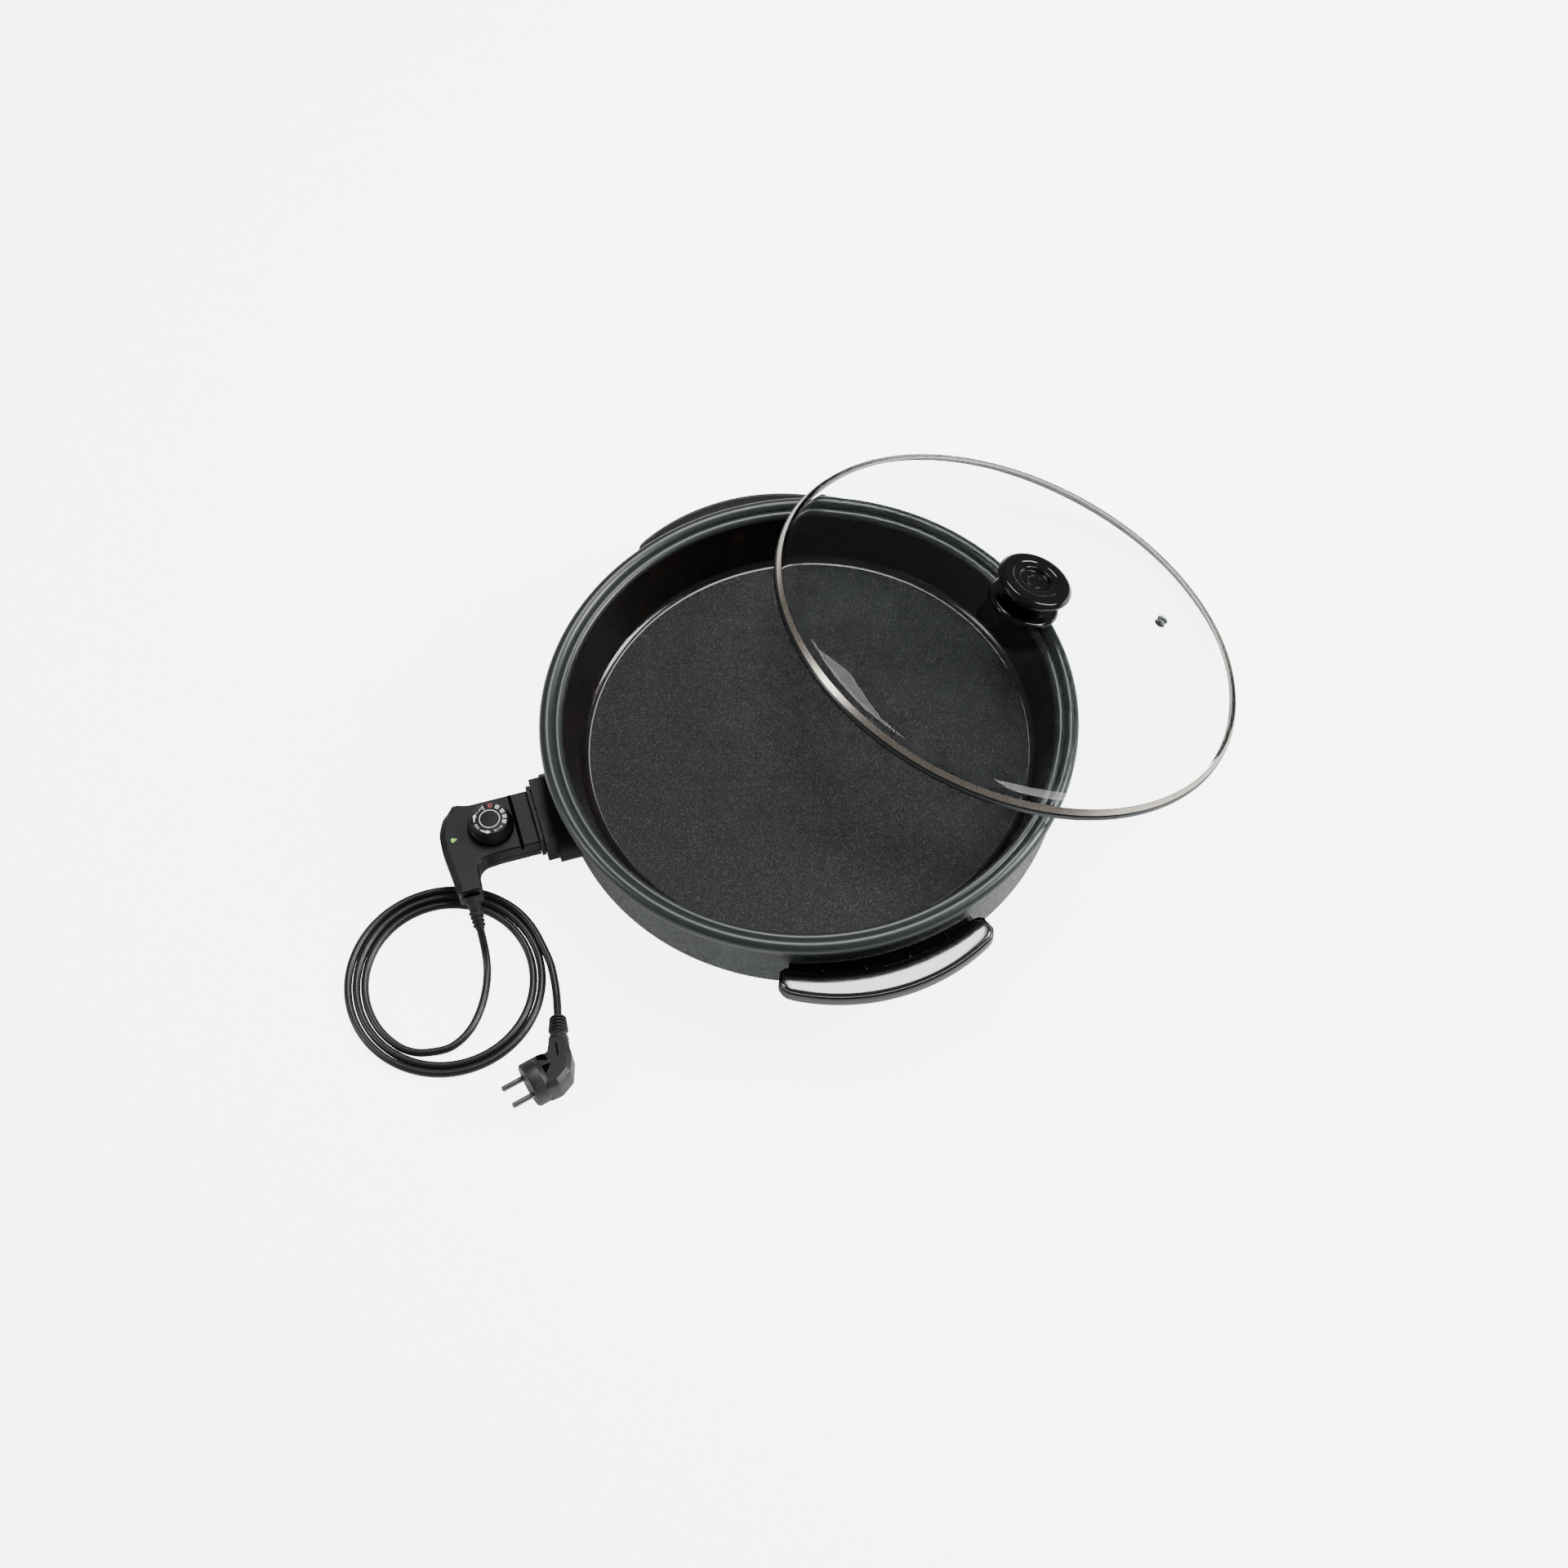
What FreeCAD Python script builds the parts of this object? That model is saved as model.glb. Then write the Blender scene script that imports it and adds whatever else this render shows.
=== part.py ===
import FreeCAD, Part
import math
import os

import Sketcher

# Electric griddle: a round non-stick pan in an outer shell on four feet, with two moulded handles,
# a plug-in temperature controller with its cord, and a domed glass lid that leans against the rim.
# Frame: millimetres, +Z up, origin on the pan's axis at the level of the table.
# The handles lie on +Y and -Y, and the controller plugs in from -X.

DIMENSIONS = {
    # pan
    "rim_radius": 220,
    "bead": 6,
    "bead_height": 97,
    "floor_radius": 188.3,
    "floor_height": 52.6,
    "floor_thick": 5,
    "wall_top_radius": 201,
    "wall_top_height": 95,
    "wall_thick": 3,
    "corner": 8,
    "shoulder": 4.6,
    # outer shell and base
    "shell_top_radius": 212.8,
    "shell_low_radius": 208.4,
    "shell_top_height": 90.4,
    "shell_bottom": 24.1,
    "shell_corner": 5,
    "shell_thick": 1,
    "shell_lip": 190,
    "cover_radius": 198,
    "cover_thick": 1.2,
    "stud_radius": 3,
    "foot_circle": 166,
    "foot_radius": 17,
    "foot_pad": 2.5,
    # heating
    "element_circle": 125,
    "element_radius": 4,
    "element_height": 43.55,
    "pin_spread": 12,
    "pin_radius": 3,
    "probe_height": 36,
    "probe_radius": 3,
    "clamp_width": 44,
    "reflector_radius": 192,
    "reflector_height": 31,
    # socket on the pan
    "socket_low": 26,
    "socket_high": 57,
    "socket_face": -232,
    "socket_back": -221,
    "socket_half": 31,
    "socket_wall": 4.5,
    "bracket_half": 41,
    "bracket_low": 24.4,
    "bracket_high": 56,
    "bracket_screw": 36,
    "terminal_start": -231.5,
    "element_end": -196,
    # handles
    "grip_outer_arc": 162,
    "grip_outer_centre": 88,
    "grip_inner_arc": 157,
    "grip_inner_centre": 67,
    "grip_angle": 19,
    "grip_low": 60,
    "grip_high": 74,
    "web_low": 61,
    "web_high": 68,
    "web_angle": 20.6,
    "grip_cap": 12.6,
    "grip_step": 2,
    "cushion_inset": 3,
    "cushion_rise": 2.5,
    # controller
    "case_low": 29,
    "case_split": 38,
    "case_high": 50,
    "case_half": 25.5,
    "case_front": -236,
    "case_left": -314.2,
    "case_end": -54,
    "case_wall": 2,
    "case_chamfer": 1.6,
    "case_corner": 25.5,
    "elbow_arc": 13,
    "nose_width": 54,
    "nose_height": 25,
    "nose_plug_low": 32.2,
    "nose_plug_height": 19.5,
    "nose_half": 25,
    "nose_flange": 3.6,
    "nose_reach": 6.8,
    "contact_start": -243.5,
    "contact_length": 18,
    "contact_radius": 4.5,
    "dial_x": -271,
    "dial_radius": 18.7,
    "dial_top_radius": 15.8,
    "dial_low": 50.4,
    "dial_high": 63,
    "dial_skirt": 6,
    "shaft_radius": 3,
    "shaft_hole": 5,
    "relief_length": 26,
    "relief_root": 7.2,
    "relief_wide": 6.4,
    "relief_narrow": 4.4,
    "relief_rib": 6.9,
    "cord_exit_x": -300.3,
    "cord_exit_z": 39,
    "relief_drop": 43,
    # cord and plug
    "cord_radius": 3.3,
    "coil_x": -336.8,
    "coil_y": -104,
    "coil_inner": 62,
    "coil_outer": 87,
    "plug_x": -295,
    "plug_y": -220.5,
    "plug_z": 18.7,
    "plug_heading": 15.2,
    "plug_roll": 12,
    "plug_radius": 18.5,
    "plug_half": 11.5,
    "plug_face_depth": 15,
    "plug_sleeve_wide": 7,
    "plug_sleeve_narrow": 5.4,
    "plug_sleeve_rib": 7.9,
    "plug_pin_spread": 9.5,
    "plug_pin_radius": 2.4,
    "plug_pin_start": 0.3,
    "plug_pin_end": 19,
    "plug_root_radius": 2,
    "plug_root_depth": 8,
    # lid
    "lid_x": 186.7,
    "lid_y": 41.2,
    "lid_z": 83.8,
    "lid_tilt": 23.1,
    "lid_heading": 14.4,
    "lid_radius": 207,
    "lid_rise": 27.8,
    "lid_bend_radius": 185,
    "lid_bend_rise": 12,
    "glass_thick": 4,
    "knob_base_radius": 30.5,
    "knob_cap_radius": 32.5,
    "knob_neck": 15,
    "knob_hole": 3.4,
    "vent_radius": 137,
    "vent_angle": -3.9,
    "vent_hole": 3.2,
    "vent_flange": 5,
    "vent_neck": 2.5,
    "vent_bore": 1.7,
}

doc = FreeCAD.newDocument("electric_griddle")
sheet = doc.addObject("Spreadsheet::Sheet", "dims")
for row, (alias, number) in enumerate(DIMENSIONS.items(), start=1):
    sheet.set(f"A{row}", alias)
    sheet.set(f"B{row}", str(number))
    sheet.setAlias(f"B{row}", alias)
doc.recompute()

nodes = []


# ---- helpers ---------------------------------------------------------------------------------

def dim(alias):
    """A driving dimension as a number."""
    return float(sheet.get(alias))


def node(obj, label):
    """Name a finished sub-part; its label is its file's name."""
    obj.Label = label
    nodes.append(obj)
    return obj


def bind(obj, **expressions):
    for prop, expression in expressions.items():
        obj.setExpression(prop, str(expression))
    return obj


def place(obj, x="0", y="0", z="0", rotation=FreeCAD.Rotation()):
    obj.Placement = FreeCAD.Placement(FreeCAD.Vector(), rotation)
    obj.setExpression("Placement.Base.x", str(x))
    obj.setExpression("Placement.Base.y", str(y))
    obj.setExpression("Placement.Base.z", str(z))
    return obj


ALONG_X = FreeCAD.Rotation(FreeCAD.Vector(0, 1, 0), 90)
UPRIGHT = FreeCAD.Rotation()


def cylinder(radius, height, x="0", y="0", z="0", rotation=UPRIGHT):
    obj = doc.addObject("Part::Cylinder", "cylinder")
    return place(bind(obj, Radius=radius, Height=height), x, y, z, rotation)


def cone(low_radius, high_radius, height, x="0", y="0", z="0", rotation=UPRIGHT):
    obj = doc.addObject("Part::Cone", "cone")
    return place(bind(obj, Radius1=low_radius, Radius2=high_radius, Height=height), x, y, z, rotation)


def torus(ring_radius, tube_radius, x="0", y="0", z="0"):
    obj = doc.addObject("Part::Torus", "torus")
    return place(bind(obj, Radius1=ring_radius, Radius2=tube_radius), x, y, z)


def box(length, width, height, x="0", y="0", z="0"):
    """A box whose corner with the lowest coordinates is at x, y, z."""
    obj = doc.addObject("Part::Box", "box")
    return place(bind(obj, Length=length, Width=width, Height=height), x, y, z)


def cut(base, *tools):
    for tool in tools:
        result = doc.addObject("Part::Cut", "cut")
        result.Base = base
        result.Tool = tool
        base = result
    return base


def fuse(*shapes):
    result = doc.addObject("Part::MultiFuse", "fuse")
    result.Shapes = list(shapes)
    return result


def common(*shapes):
    result = doc.addObject("Part::MultiCommon", "common")
    result.Shapes = list(shapes)
    return result


def group(*shapes):
    """Separate solids that share one node."""
    result = doc.addObject("Part::Compound", "group")
    result.Links = list(shapes)
    return result


def body(label, kept=True):
    """A new body. One that isn't kept only shapes a node, and is no node itself."""
    owner = doc.addObject("PartDesign::Body", label)
    if kept:
        node(owner, label)
    return owner


def sketch(owner, plane, offset="0"):
    result = owner.newObject("Sketcher::SketchObject", "sketch")
    support = next(item for item in owner.Origin.OriginFeatures if item.Role == plane)
    result.AttachmentSupport = [(support, "")]
    result.MapMode = "FlatFace"
    result.setExpression("AttachmentOffset.Base.z", str(offset))
    return result


def arc_through(start, end, radius, turn):
    """Centre of the shorter arc from start to end; turn is +1 anticlockwise, -1 clockwise."""
    chord = end - start
    middle = start + chord * 0.5
    height = math.sqrt(max(radius ** 2 - (chord.Length / 2) ** 2, 0))
    side = FreeCAD.Vector(-chord.y, chord.x, 0).normalize()
    return middle + side * (height * turn)


def outline(owner, corners):
    """A closed outline in a sketch. A corner is (x, y), reached by a line, or (x, y, radius, turn),
    reached by an arc. Each corner and radius is held by a constraint bound to its expression."""
    points = []
    for corner in corners:
        x_value = owner.evalExpression(str(corner[0]))
        y_value = owner.evalExpression(str(corner[1]))
        points.append(FreeCAD.Vector(float(x_value), float(y_value), 0))
    starts = []
    for index, corner in enumerate(corners):
        start = points[index - 1]
        end = points[index]
        if len(corner) == 2:
            geometry = owner.addGeometry(Part.LineSegment(start, end))
            starts.append((geometry, 1, 2))
            continue
        radius = float(owner.evalExpression(str(corner[2])))
        turn = corner[3]
        centre = arc_through(start, end, radius, turn)
        first, last = (start, end) if turn > 0 else (end, start)
        angles = [math.atan2(point.y - centre.y, point.x - centre.x) for point in (first, last)]
        circle = Part.Circle(centre, FreeCAD.Vector(0, 0, 1), radius)
        geometry = owner.addGeometry(Part.ArcOfCircle(circle, angles[0], angles[1]))
        starts.append((geometry, 1, 2) if turn > 0 else (geometry, 2, 1))
        constraint = owner.addConstraint(Sketcher.Constraint("Radius", geometry, radius))
        owner.setExpression(f"Constraints[{constraint}]", str(corner[2]))
    for index, (geometry, first, last) in enumerate(starts):
        following = starts[(index + 1) % len(starts)]
        owner.addConstraint(Sketcher.Constraint("Coincident", geometry, last, following[0], following[1]))
        for kind, axis, number, expression in (
                ("DistanceX", -2, points[index].x, corners[index][0]),
                ("DistanceY", -1, points[index].y, corners[index][1])):
            if str(expression) == "0":
                owner.addConstraint(Sketcher.Constraint("PointOnObject", geometry, last, axis))
                continue
            constraint = owner.addConstraint(Sketcher.Constraint(kind, geometry, last, number))
            owner.setExpression(f"Constraints[{constraint}]", str(expression))
    return owner


def revolve(owner, corners):
    """Turn an outline, given as (radius, height) corners, about the body's Z axis."""
    profile = outline(sketch(owner, "XZ_Plane"), corners)
    feature = owner.newObject("PartDesign::Revolution", "revolution")
    feature.Profile = profile
    feature.ReferenceAxis = (profile, ["V_Axis"])
    feature.Angle = 360
    return feature


def pad(owner, corners, low, height):
    """Raise an outline from the level low by the height."""
    profile = outline(sketch(owner, "XY_Plane", low), corners)
    feature = owner.newObject("PartDesign::Pad", "pad")
    feature.Profile = profile
    return bind(feature, Length=height)


def pocket(owner, corners, low, height):
    """Cut an outline's space, from the level low upwards by the height."""
    profile = outline(sketch(owner, "XY_Plane", low), corners)
    feature = owner.newObject("PartDesign::Pocket", "pocket")
    feature.Profile = profile
    feature.Reversed = True
    return bind(feature, Length=height)


def edges_at(feature, height, longer_than=0.5):
    """Names of the edges that lie flat at a height."""
    names = []
    for index, edge in enumerate(feature.Shape.Edges, start=1):
        bounds = edge.BoundBox
        if abs(bounds.ZMin - height) < 0.01 and abs(bounds.ZMax - height) < 0.01 and edge.Length > longer_than:
            names.append(f"Edge{index}")
    return names


def soften(owner, feature, height, kind, size):
    """Fillet or chamfer every edge of the feature that lies at a height."""
    doc.recompute()
    result = owner.newObject(f"PartDesign::{kind}", kind.lower())
    result.Base = (feature, edges_at(feature, height))
    return bind(result, **{"Radius" if kind == "Fillet" else "Size": size})


def around(count, start, make):
    """Call make with the cosine and sine, as text, of count evenly spaced headings."""
    pieces = []
    for index in range(count):
        heading = f"({start} + {360 * index / count:g})"
        pieces.append(make(f"cos({heading} * 1 deg)", f"sin({heading} * 1 deg)"))
    return pieces


# ---- pan, shell and base ---------------------------------------------------------------------

def make_pan():
    """Pressed pan: flat floor, flared wall, a rounded shoulder that seats the lid and a rolled bead."""
    owner = body("pan")
    bead_centre = "(dims.rim_radius - dims.bead)"
    under = "dims.floor_height - dims.floor_thick"
    revolve(owner, [
        ("0", "dims.floor_height"),
        ("dims.floor_radius - 6.3", "dims.floor_height"),
        ("dims.floor_radius", "dims.floor_height + 5", "dims.corner", 1),
        ("dims.wall_top_radius", "dims.wall_top_height"),
        (f"{bead_centre} - 5.834", "dims.bead_height + 1.4", "dims.shoulder", -1),
        ("dims.rim_radius", "dims.bead_height", "dims.bead", -1),
        (f"{bead_centre} - 4.8", "dims.bead_height - 3.6", "dims.bead", -1),
        ("dims.wall_top_radius + dims.wall_thick + 0.2", "dims.bead_height - 3.6"),
        ("dims.floor_radius + dims.wall_thick", "dims.floor_height + 4"),
        ("dims.floor_radius - 5", under, "dims.corner + 2", -1),
        ("0", under),
    ])
    return owner


def make_outer_shell():
    """Pressed steel skirt below the bead, with an inward lip that carries the base cover."""
    owner = body("outer_shell")
    inner_corner = "dims.shell_corner - dims.shell_thick"
    turned = "dims.shell_low_radius - dims.shell_corner"
    ring = revolve(owner, [
        ("dims.shell_top_radius", "dims.shell_top_height"),
        ("dims.shell_top_radius - dims.shell_thick", "dims.shell_top_height"),
        ("dims.shell_low_radius - dims.shell_thick", "dims.shell_bottom + dims.shell_corner"),
        (turned, "dims.shell_bottom + dims.shell_thick", inner_corner, -1),
        ("dims.shell_lip", "dims.shell_bottom + dims.shell_thick"),
        ("dims.shell_lip", "dims.shell_bottom"),
        (turned, "dims.shell_bottom"),
        ("dims.shell_low_radius", "dims.shell_bottom + dims.shell_corner", "dims.shell_corner", 1),
    ])
    doc.recompute()
    # window behind the socket for the two terminals and the probe
    window = outline(sketch(owner, "YZ_Plane", "-dims.rim_radius - 1"), [
        ("-19", "31"), ("19", "31"), ("19", "50"), ("-19", "50")])
    feature = owner.newObject("PartDesign::Pocket", "terminal_window")
    feature.Profile = window
    feature.Reversed = True
    bind(feature, Length="30")
    return ring


def make_base():
    """Base cover with its centre fixing, and four feet, each with a pad and a screw."""
    top = "dims.shell_bottom - 0.05"
    cover = cut(
        fuse(cylinder("dims.cover_radius", "dims.cover_thick", z=f"{top} - dims.cover_thick"),
             cylinder("40", "dims.cover_thick + 1.2", z=f"{top} - dims.cover_thick")),
        cylinder("dims.stud_radius + 0.2", "20", z=f"{top} - 10"),
        *around(4, 45, lambda c, s: cylinder(
            "2.3", "20", f"dims.foot_circle * {c}", f"dims.foot_circle * {s}", f"{top} - 10")))
    node(cover, "base_cover")
    under = f"({top} - dims.cover_thick - 0.05)"
    stud = cylinder("dims.stud_radius", "dims.floor_height - dims.floor_thick - 17.1", z="17")
    node(stud, "centre_stud")
    nut = cut(fuse(cylinder("9", "1.2", z=f"{under} - 1.2"), cylinder("5.6", "4", z=f"{under} - 5.1")),
              cylinder("dims.stud_radius + 0.1", "20", z="10"))
    node(nut, "centre_nut")
    names = {45: "rear_right", 135: "rear_left", 225: "front_left", 315: "front_right"}
    pads = []
    screws = []
    for heading, corner in names.items():
        x = f"dims.foot_circle * cos({heading} deg)"
        y = f"dims.foot_circle * sin({heading} deg)"
        leg = cut(cone("dims.foot_radius - 3", "dims.foot_radius", f"{under} - dims.foot_pad", x, y, "dims.foot_pad"),
                  cylinder("2.3", "40", x, y, "0"),
                  cylinder("5", "6", x, y, "dims.foot_pad"))
        node(leg, f"foot_{corner}")
        pads.append(cut(cylinder("dims.foot_radius - 4", "dims.foot_pad - 0.02", x, y, "0"),
                        cylinder("5", "10", x, y, "-1")))
        screws.append(fuse(cylinder("4.2", "2.6", x, y, "dims.foot_pad + 3.35"),
                           cylinder("2.1", "17", x, y, "dims.foot_pad + 5.9")))
    node(group(*pads), "foot_pads")
    node(group(*screws), "foot_screws")


def tube_along(path, radius):
    """A round solid along a smooth wire of straight edges and tangent arcs."""
    edge = path.Edges[0]
    start = edge.valueAt(edge.FirstParameter)
    heading = edge.tangentAt(edge.FirstParameter)
    section = Part.Wire([Part.Circle(start, heading, radius).toShape()])
    return path.makePipeShell([section], True, False)


def rounded_path(points, share=0.45):
    """Straight runs joined by tangent arcs, each as large as its shorter run allows, and the radii."""
    edges = []
    radii = []
    previous = points[0]
    for before, corner, after in zip(points, points[1:], points[2:]):
        into = corner - before
        out = after - corner
        turn = into.getAngle(out)
        reach = share * min(into.Length, out.Length)
        radius = reach / math.tan(turn / 2)
        into.normalize()
        out.normalize()
        first = corner - into * reach
        last = corner + out * reach
        inwards = (out - into).normalize()
        middle = corner + inwards * (radius / math.cos(turn / 2) - radius)
        edges.append(Part.LineSegment(previous, first).toShape())
        edges.append(Part.Arc(first, middle, last).toShape())
        radii.append(radius)
        previous = last
    edges.append(Part.LineSegment(previous, points[-1]).toShape())
    return Part.Wire(edges), radii


def make_heating():
    """Tubular element under the pan, clamped by a plate, over a reflector."""
    circle = dim("element_circle")
    level = dim("element_height")
    spread = dim("pin_spread")
    # the ring stops short of -X, where both ends turn outwards to the terminals
    mouth = spread + 14
    reach = math.sqrt(circle ** 2 - mouth ** 2)
    ring = Part.Arc(FreeCAD.Vector(-reach, mouth, level), FreeCAD.Vector(circle, 0, level),
                    FreeCAD.Vector(-reach, -mouth, level))
    leads = []
    for side in (1, -1):
        end = FreeCAD.Vector(-reach, side * mouth, level)
        corner = FreeCAD.Vector(-reach - (mouth - spread) * mouth / reach, side * spread, level)
        gap = corner.distanceToPoint(end)
        into = (end - corner).normalize()
        outwards = FreeCAD.Vector(-1, 0, 0)
        half = into.getAngle(outwards) / 2
        radius = gap * math.tan(half)
        middle = corner + (into + outwards).normalize() * (radius / math.sin(half) - radius)
        tail = corner + outwards * gap
        far = FreeCAD.Vector(dim("element_end"), side * spread, level)
        leads.append((far, tail, middle, end))
    first, last = leads
    path = Part.Wire([
        Part.LineSegment(first[0], first[1]).toShape(),
        Part.Arc(first[1], first[2], first[3]).toShape(),
        ring.toShape(),
        Part.Arc(last[3], last[2], last[1]).toShape(),
        Part.LineSegment(last[1], last[0]).toShape()])
    element = doc.addObject("Part::Feature", "heating_element")
    element.Shape = tube_along(path, dim("element_radius"))
    node(element, "heating_element")
    top = "(dims.element_height - dims.element_radius - 0.05)"
    plate = cut(cylinder("dims.element_circle + dims.clamp_width / 2", "1.5", z=f"{top} - 1.5"),
                cylinder("dims.element_circle - dims.clamp_width / 2", "5", z=f"{top} - 3"),
                *around(4, 45, lambda c, s: cylinder(
                    "2.7", "9", f"(dims.element_circle + 14) * {c}", f"(dims.element_circle + 14) * {s}", "33")))
    node(plate, "element_clamp")
    studs = around(4, 45, lambda c, s: cylinder(
        "2.5", "dims.floor_height - dims.floor_thick - 34.05",
        f"(dims.element_circle + 14) * {c}", f"(dims.element_circle + 14) * {s}", "34"))
    node(group(*studs), "clamp_studs")
    nuts = around(4, 45, lambda c, s: cut(
        cylinder("4.6", "3", f"(dims.element_circle + 14) * {c}", f"(dims.element_circle + 14) * {s}", f"{top} - 4.55"),
        cylinder("2.55", "9", f"(dims.element_circle + 14) * {c}", f"(dims.element_circle + 14) * {s}", f"{top} - 8")))
    node(group(*nuts), "clamp_nuts")
    reflector = cut(cylinder("dims.reflector_radius", "0.8", z="dims.reflector_height - 1.9"),
                    cylinder("dims.stud_radius + 0.4", "9", z="dims.reflector_height - 5"))
    node(reflector, "reflector")


def make_socket():
    """Socket on the pan's wall: a rounded bracket, the collar, its terminals and the probe's guide."""
    middle = "((dims.socket_low + dims.socket_high) / 2)"
    radius = "((dims.bracket_high - dims.bracket_low) / 2)"
    level = "((dims.bracket_high + dims.bracket_low) / 2)"
    flat = f"(dims.bracket_half - {radius})"
    front = "(dims.socket_back - 1.5)"
    slab = fuse(
        box("30", f"2 * {flat}", f"2 * {radius}", front, f"-{flat}", "dims.bracket_low"),
        cylinder(radius, "30", front, f"{flat}", level, ALONG_X),
        cylinder(radius, "30", front, f"-{flat}", level, ALONG_X))
    wall_rise = "(dims.shell_top_height - dims.shell_bottom - dims.shell_corner)"
    wall = fuse(
        cone("dims.shell_low_radius + 0.08", "dims.shell_top_radius + 0.08", wall_rise,
             z="dims.shell_bottom + dims.shell_corner"),
        cylinder("dims.shell_low_radius + 0.08", "dims.shell_corner + 10", z="dims.shell_bottom - 10"))
    bracket = cut(slab, wall,
                  box("60", "38", "20", "-240", "-19", "30.5"),
                  *[cylinder("1.9", "60", "-240", f"{side} * dims.bracket_screw", "42", ALONG_X) for side in (1, -1)])
    node(bracket, "socket_bracket")
    depth = "(dims.socket_back - 1.55 - dims.socket_face)"
    inside = "(dims.socket_half - dims.socket_wall)"
    collar = cut(
        box(depth, "2 * dims.socket_half", "dims.socket_high - dims.socket_low",
            "dims.socket_face", "-dims.socket_half", "dims.socket_low"),
        box(f"{depth} - 2", f"2 * {inside}", "dims.socket_high - dims.socket_low - 7",
            "dims.socket_face - 0.5", f"-{inside}", "dims.socket_low + 3.5"),
        *[cylinder("dims.pin_radius + 0.1", "30", "dims.socket_face - 1", f"{side} * dims.pin_spread",
                   "dims.element_height", ALONG_X) for side in (1, -1)],
        cylinder("dims.probe_radius + 0.9", "30", "dims.socket_face - 1", "0", "dims.probe_height", ALONG_X))
    node(collar, "socket_collar")
    pins = [cylinder("dims.pin_radius", "dims.element_end - 0.05 - dims.terminal_start", "dims.terminal_start",
                     f"{side} * dims.pin_spread", "dims.element_height", ALONG_X)
            for side in (1, -1)]
    node(group(*pins), "terminal_pins")
    guide = cut(cylinder("dims.probe_radius + 0.8", "72", "-224.4", "0", "dims.probe_height", ALONG_X),
                cylinder("dims.probe_radius + 0.3", "71", "-225", "0", "dims.probe_height", ALONG_X))
    node(guide, "probe_guide")
    earth = box("6.2", "9", "0.6", "dims.socket_face + 0.6", "-4.5", "dims.socket_high - 3.5 - 0.65")
    node(earth, "earth_tongue")
    screws = [fuse(cylinder("3.4", "1.8", f"{front} - 1.85", f"{side} * dims.bracket_screw", "42", ALONG_X),
                   cylinder("1.8", "14", f"{front} - 0.1", f"{side} * dims.bracket_screw", "42", ALONG_X))
              for side in (1, -1)]
    node(group(*screws), "socket_screws")


# ---- handles ---------------------------------------------------------------------------------

def grip_corner(arc, centre, angle):
    """Point, as expressions, on an arc about a centre on -Y, at a heading from straight out."""
    reach = f"({centre} * cos({angle}) + sqrt(pow({arc}; 2) - pow({centre} * sin({angle}); 2)))"
    return f"{reach} * sin({angle})", f"-{reach} * cos({angle})"


def grip_outline(inset):
    """Curved grip with round ends, drawn inwards by inset."""
    outer = f"(dims.grip_outer_arc - {inset})"
    inner = f"(dims.grip_inner_arc + {inset})"
    corners = []
    for arc, centre, sign in ((outer, "dims.grip_outer_centre", "-"), (outer, "dims.grip_outer_centre", ""),
                              (inner, "dims.grip_inner_centre", ""), (inner, "dims.grip_inner_centre", "-")):
        corners.append(grip_corner(arc, centre, f"({sign}dims.grip_angle * 1 deg)"))
    cap = f"dims.grip_cap - {inset}"
    return [(*corners[0], cap, 1), (*corners[1], outer, 1), (*corners[2], cap, 1), (*corners[3], inner, -1)]


def make_handle(label, turned):
    """Moulded handle: a web that meets the shell under the bead, and a grip with a raised cushion."""
    owner = body(label)
    step = "dims.grip_step"
    rise = "dims.cushion_rise"
    pad(owner, grip_outline(step), "dims.grip_low", step)
    doc.recompute()
    pad(owner, grip_outline("0"), f"dims.grip_low + {step}", f"dims.grip_high - dims.grip_low - {step} - {rise}")
    doc.recompute()
    pad(owner, grip_outline("dims.cushion_inset"), f"dims.grip_high - {rise}", rise)
    doc.recompute()
    angle = "(dims.web_angle * 1 deg)"
    wall = "(dims.shell_top_radius + 0.1)"
    inner = [grip_corner("dims.grip_inner_arc", "dims.grip_inner_centre", f"({sign}dims.grip_angle * 1 deg)")
             for sign in ("-", "")]
    pad(owner, [
        (inner[0][0], f"{inner[0][1]} - 4"),
        (inner[1][0], f"{inner[1][1]} - 4", "dims.grip_inner_arc + 40", 1),
        (f"{wall} * sin({angle})", f"-{wall} * cos({angle})"),
        (f"-{wall} * sin({angle})", f"-{wall} * cos({angle})", wall, -1),
    ], "dims.web_low", "dims.web_high - dims.web_low")
    owner.Placement = FreeCAD.Placement(FreeCAD.Vector(), FreeCAD.Rotation(FreeCAD.Vector(0, 0, 1), turned))
    return owner


def make_handles():
    make_handle("front_handle", 0)
    make_handle("rear_handle", 180)


# ---- controller ------------------------------------------------------------------------------

def case_outline(inset, front="dims.case_front"):
    """Outline of the controller's elbow, drawn inwards by inset except at its front."""
    near = f"-(dims.case_half - {inset})"
    left = f"(dims.case_left + {inset})"
    end = f"(dims.case_end + {inset})"
    return [
        (front, f"dims.case_half - {inset}"),
        (f"{left} + 24", f"dims.case_half - {inset}"),
        (left, "0", f"dims.case_corner - {inset} * 0.9", 1),
        (f"{left} + 3.7", end),
        (f"{left} + 23.7 - 2 * {inset}", end),
        (f"{left} + 25.2 - 2 * {inset}", "-38.5"),
        (f"{left} + 38.2 - 2 * {inset}", near, f"dims.elbow_arc + {inset}", -1),
        (front, near),
    ]


# both halves are open towards the pan, where the nose closes them
OPEN_FRONT = "dims.case_front + 1"


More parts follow.
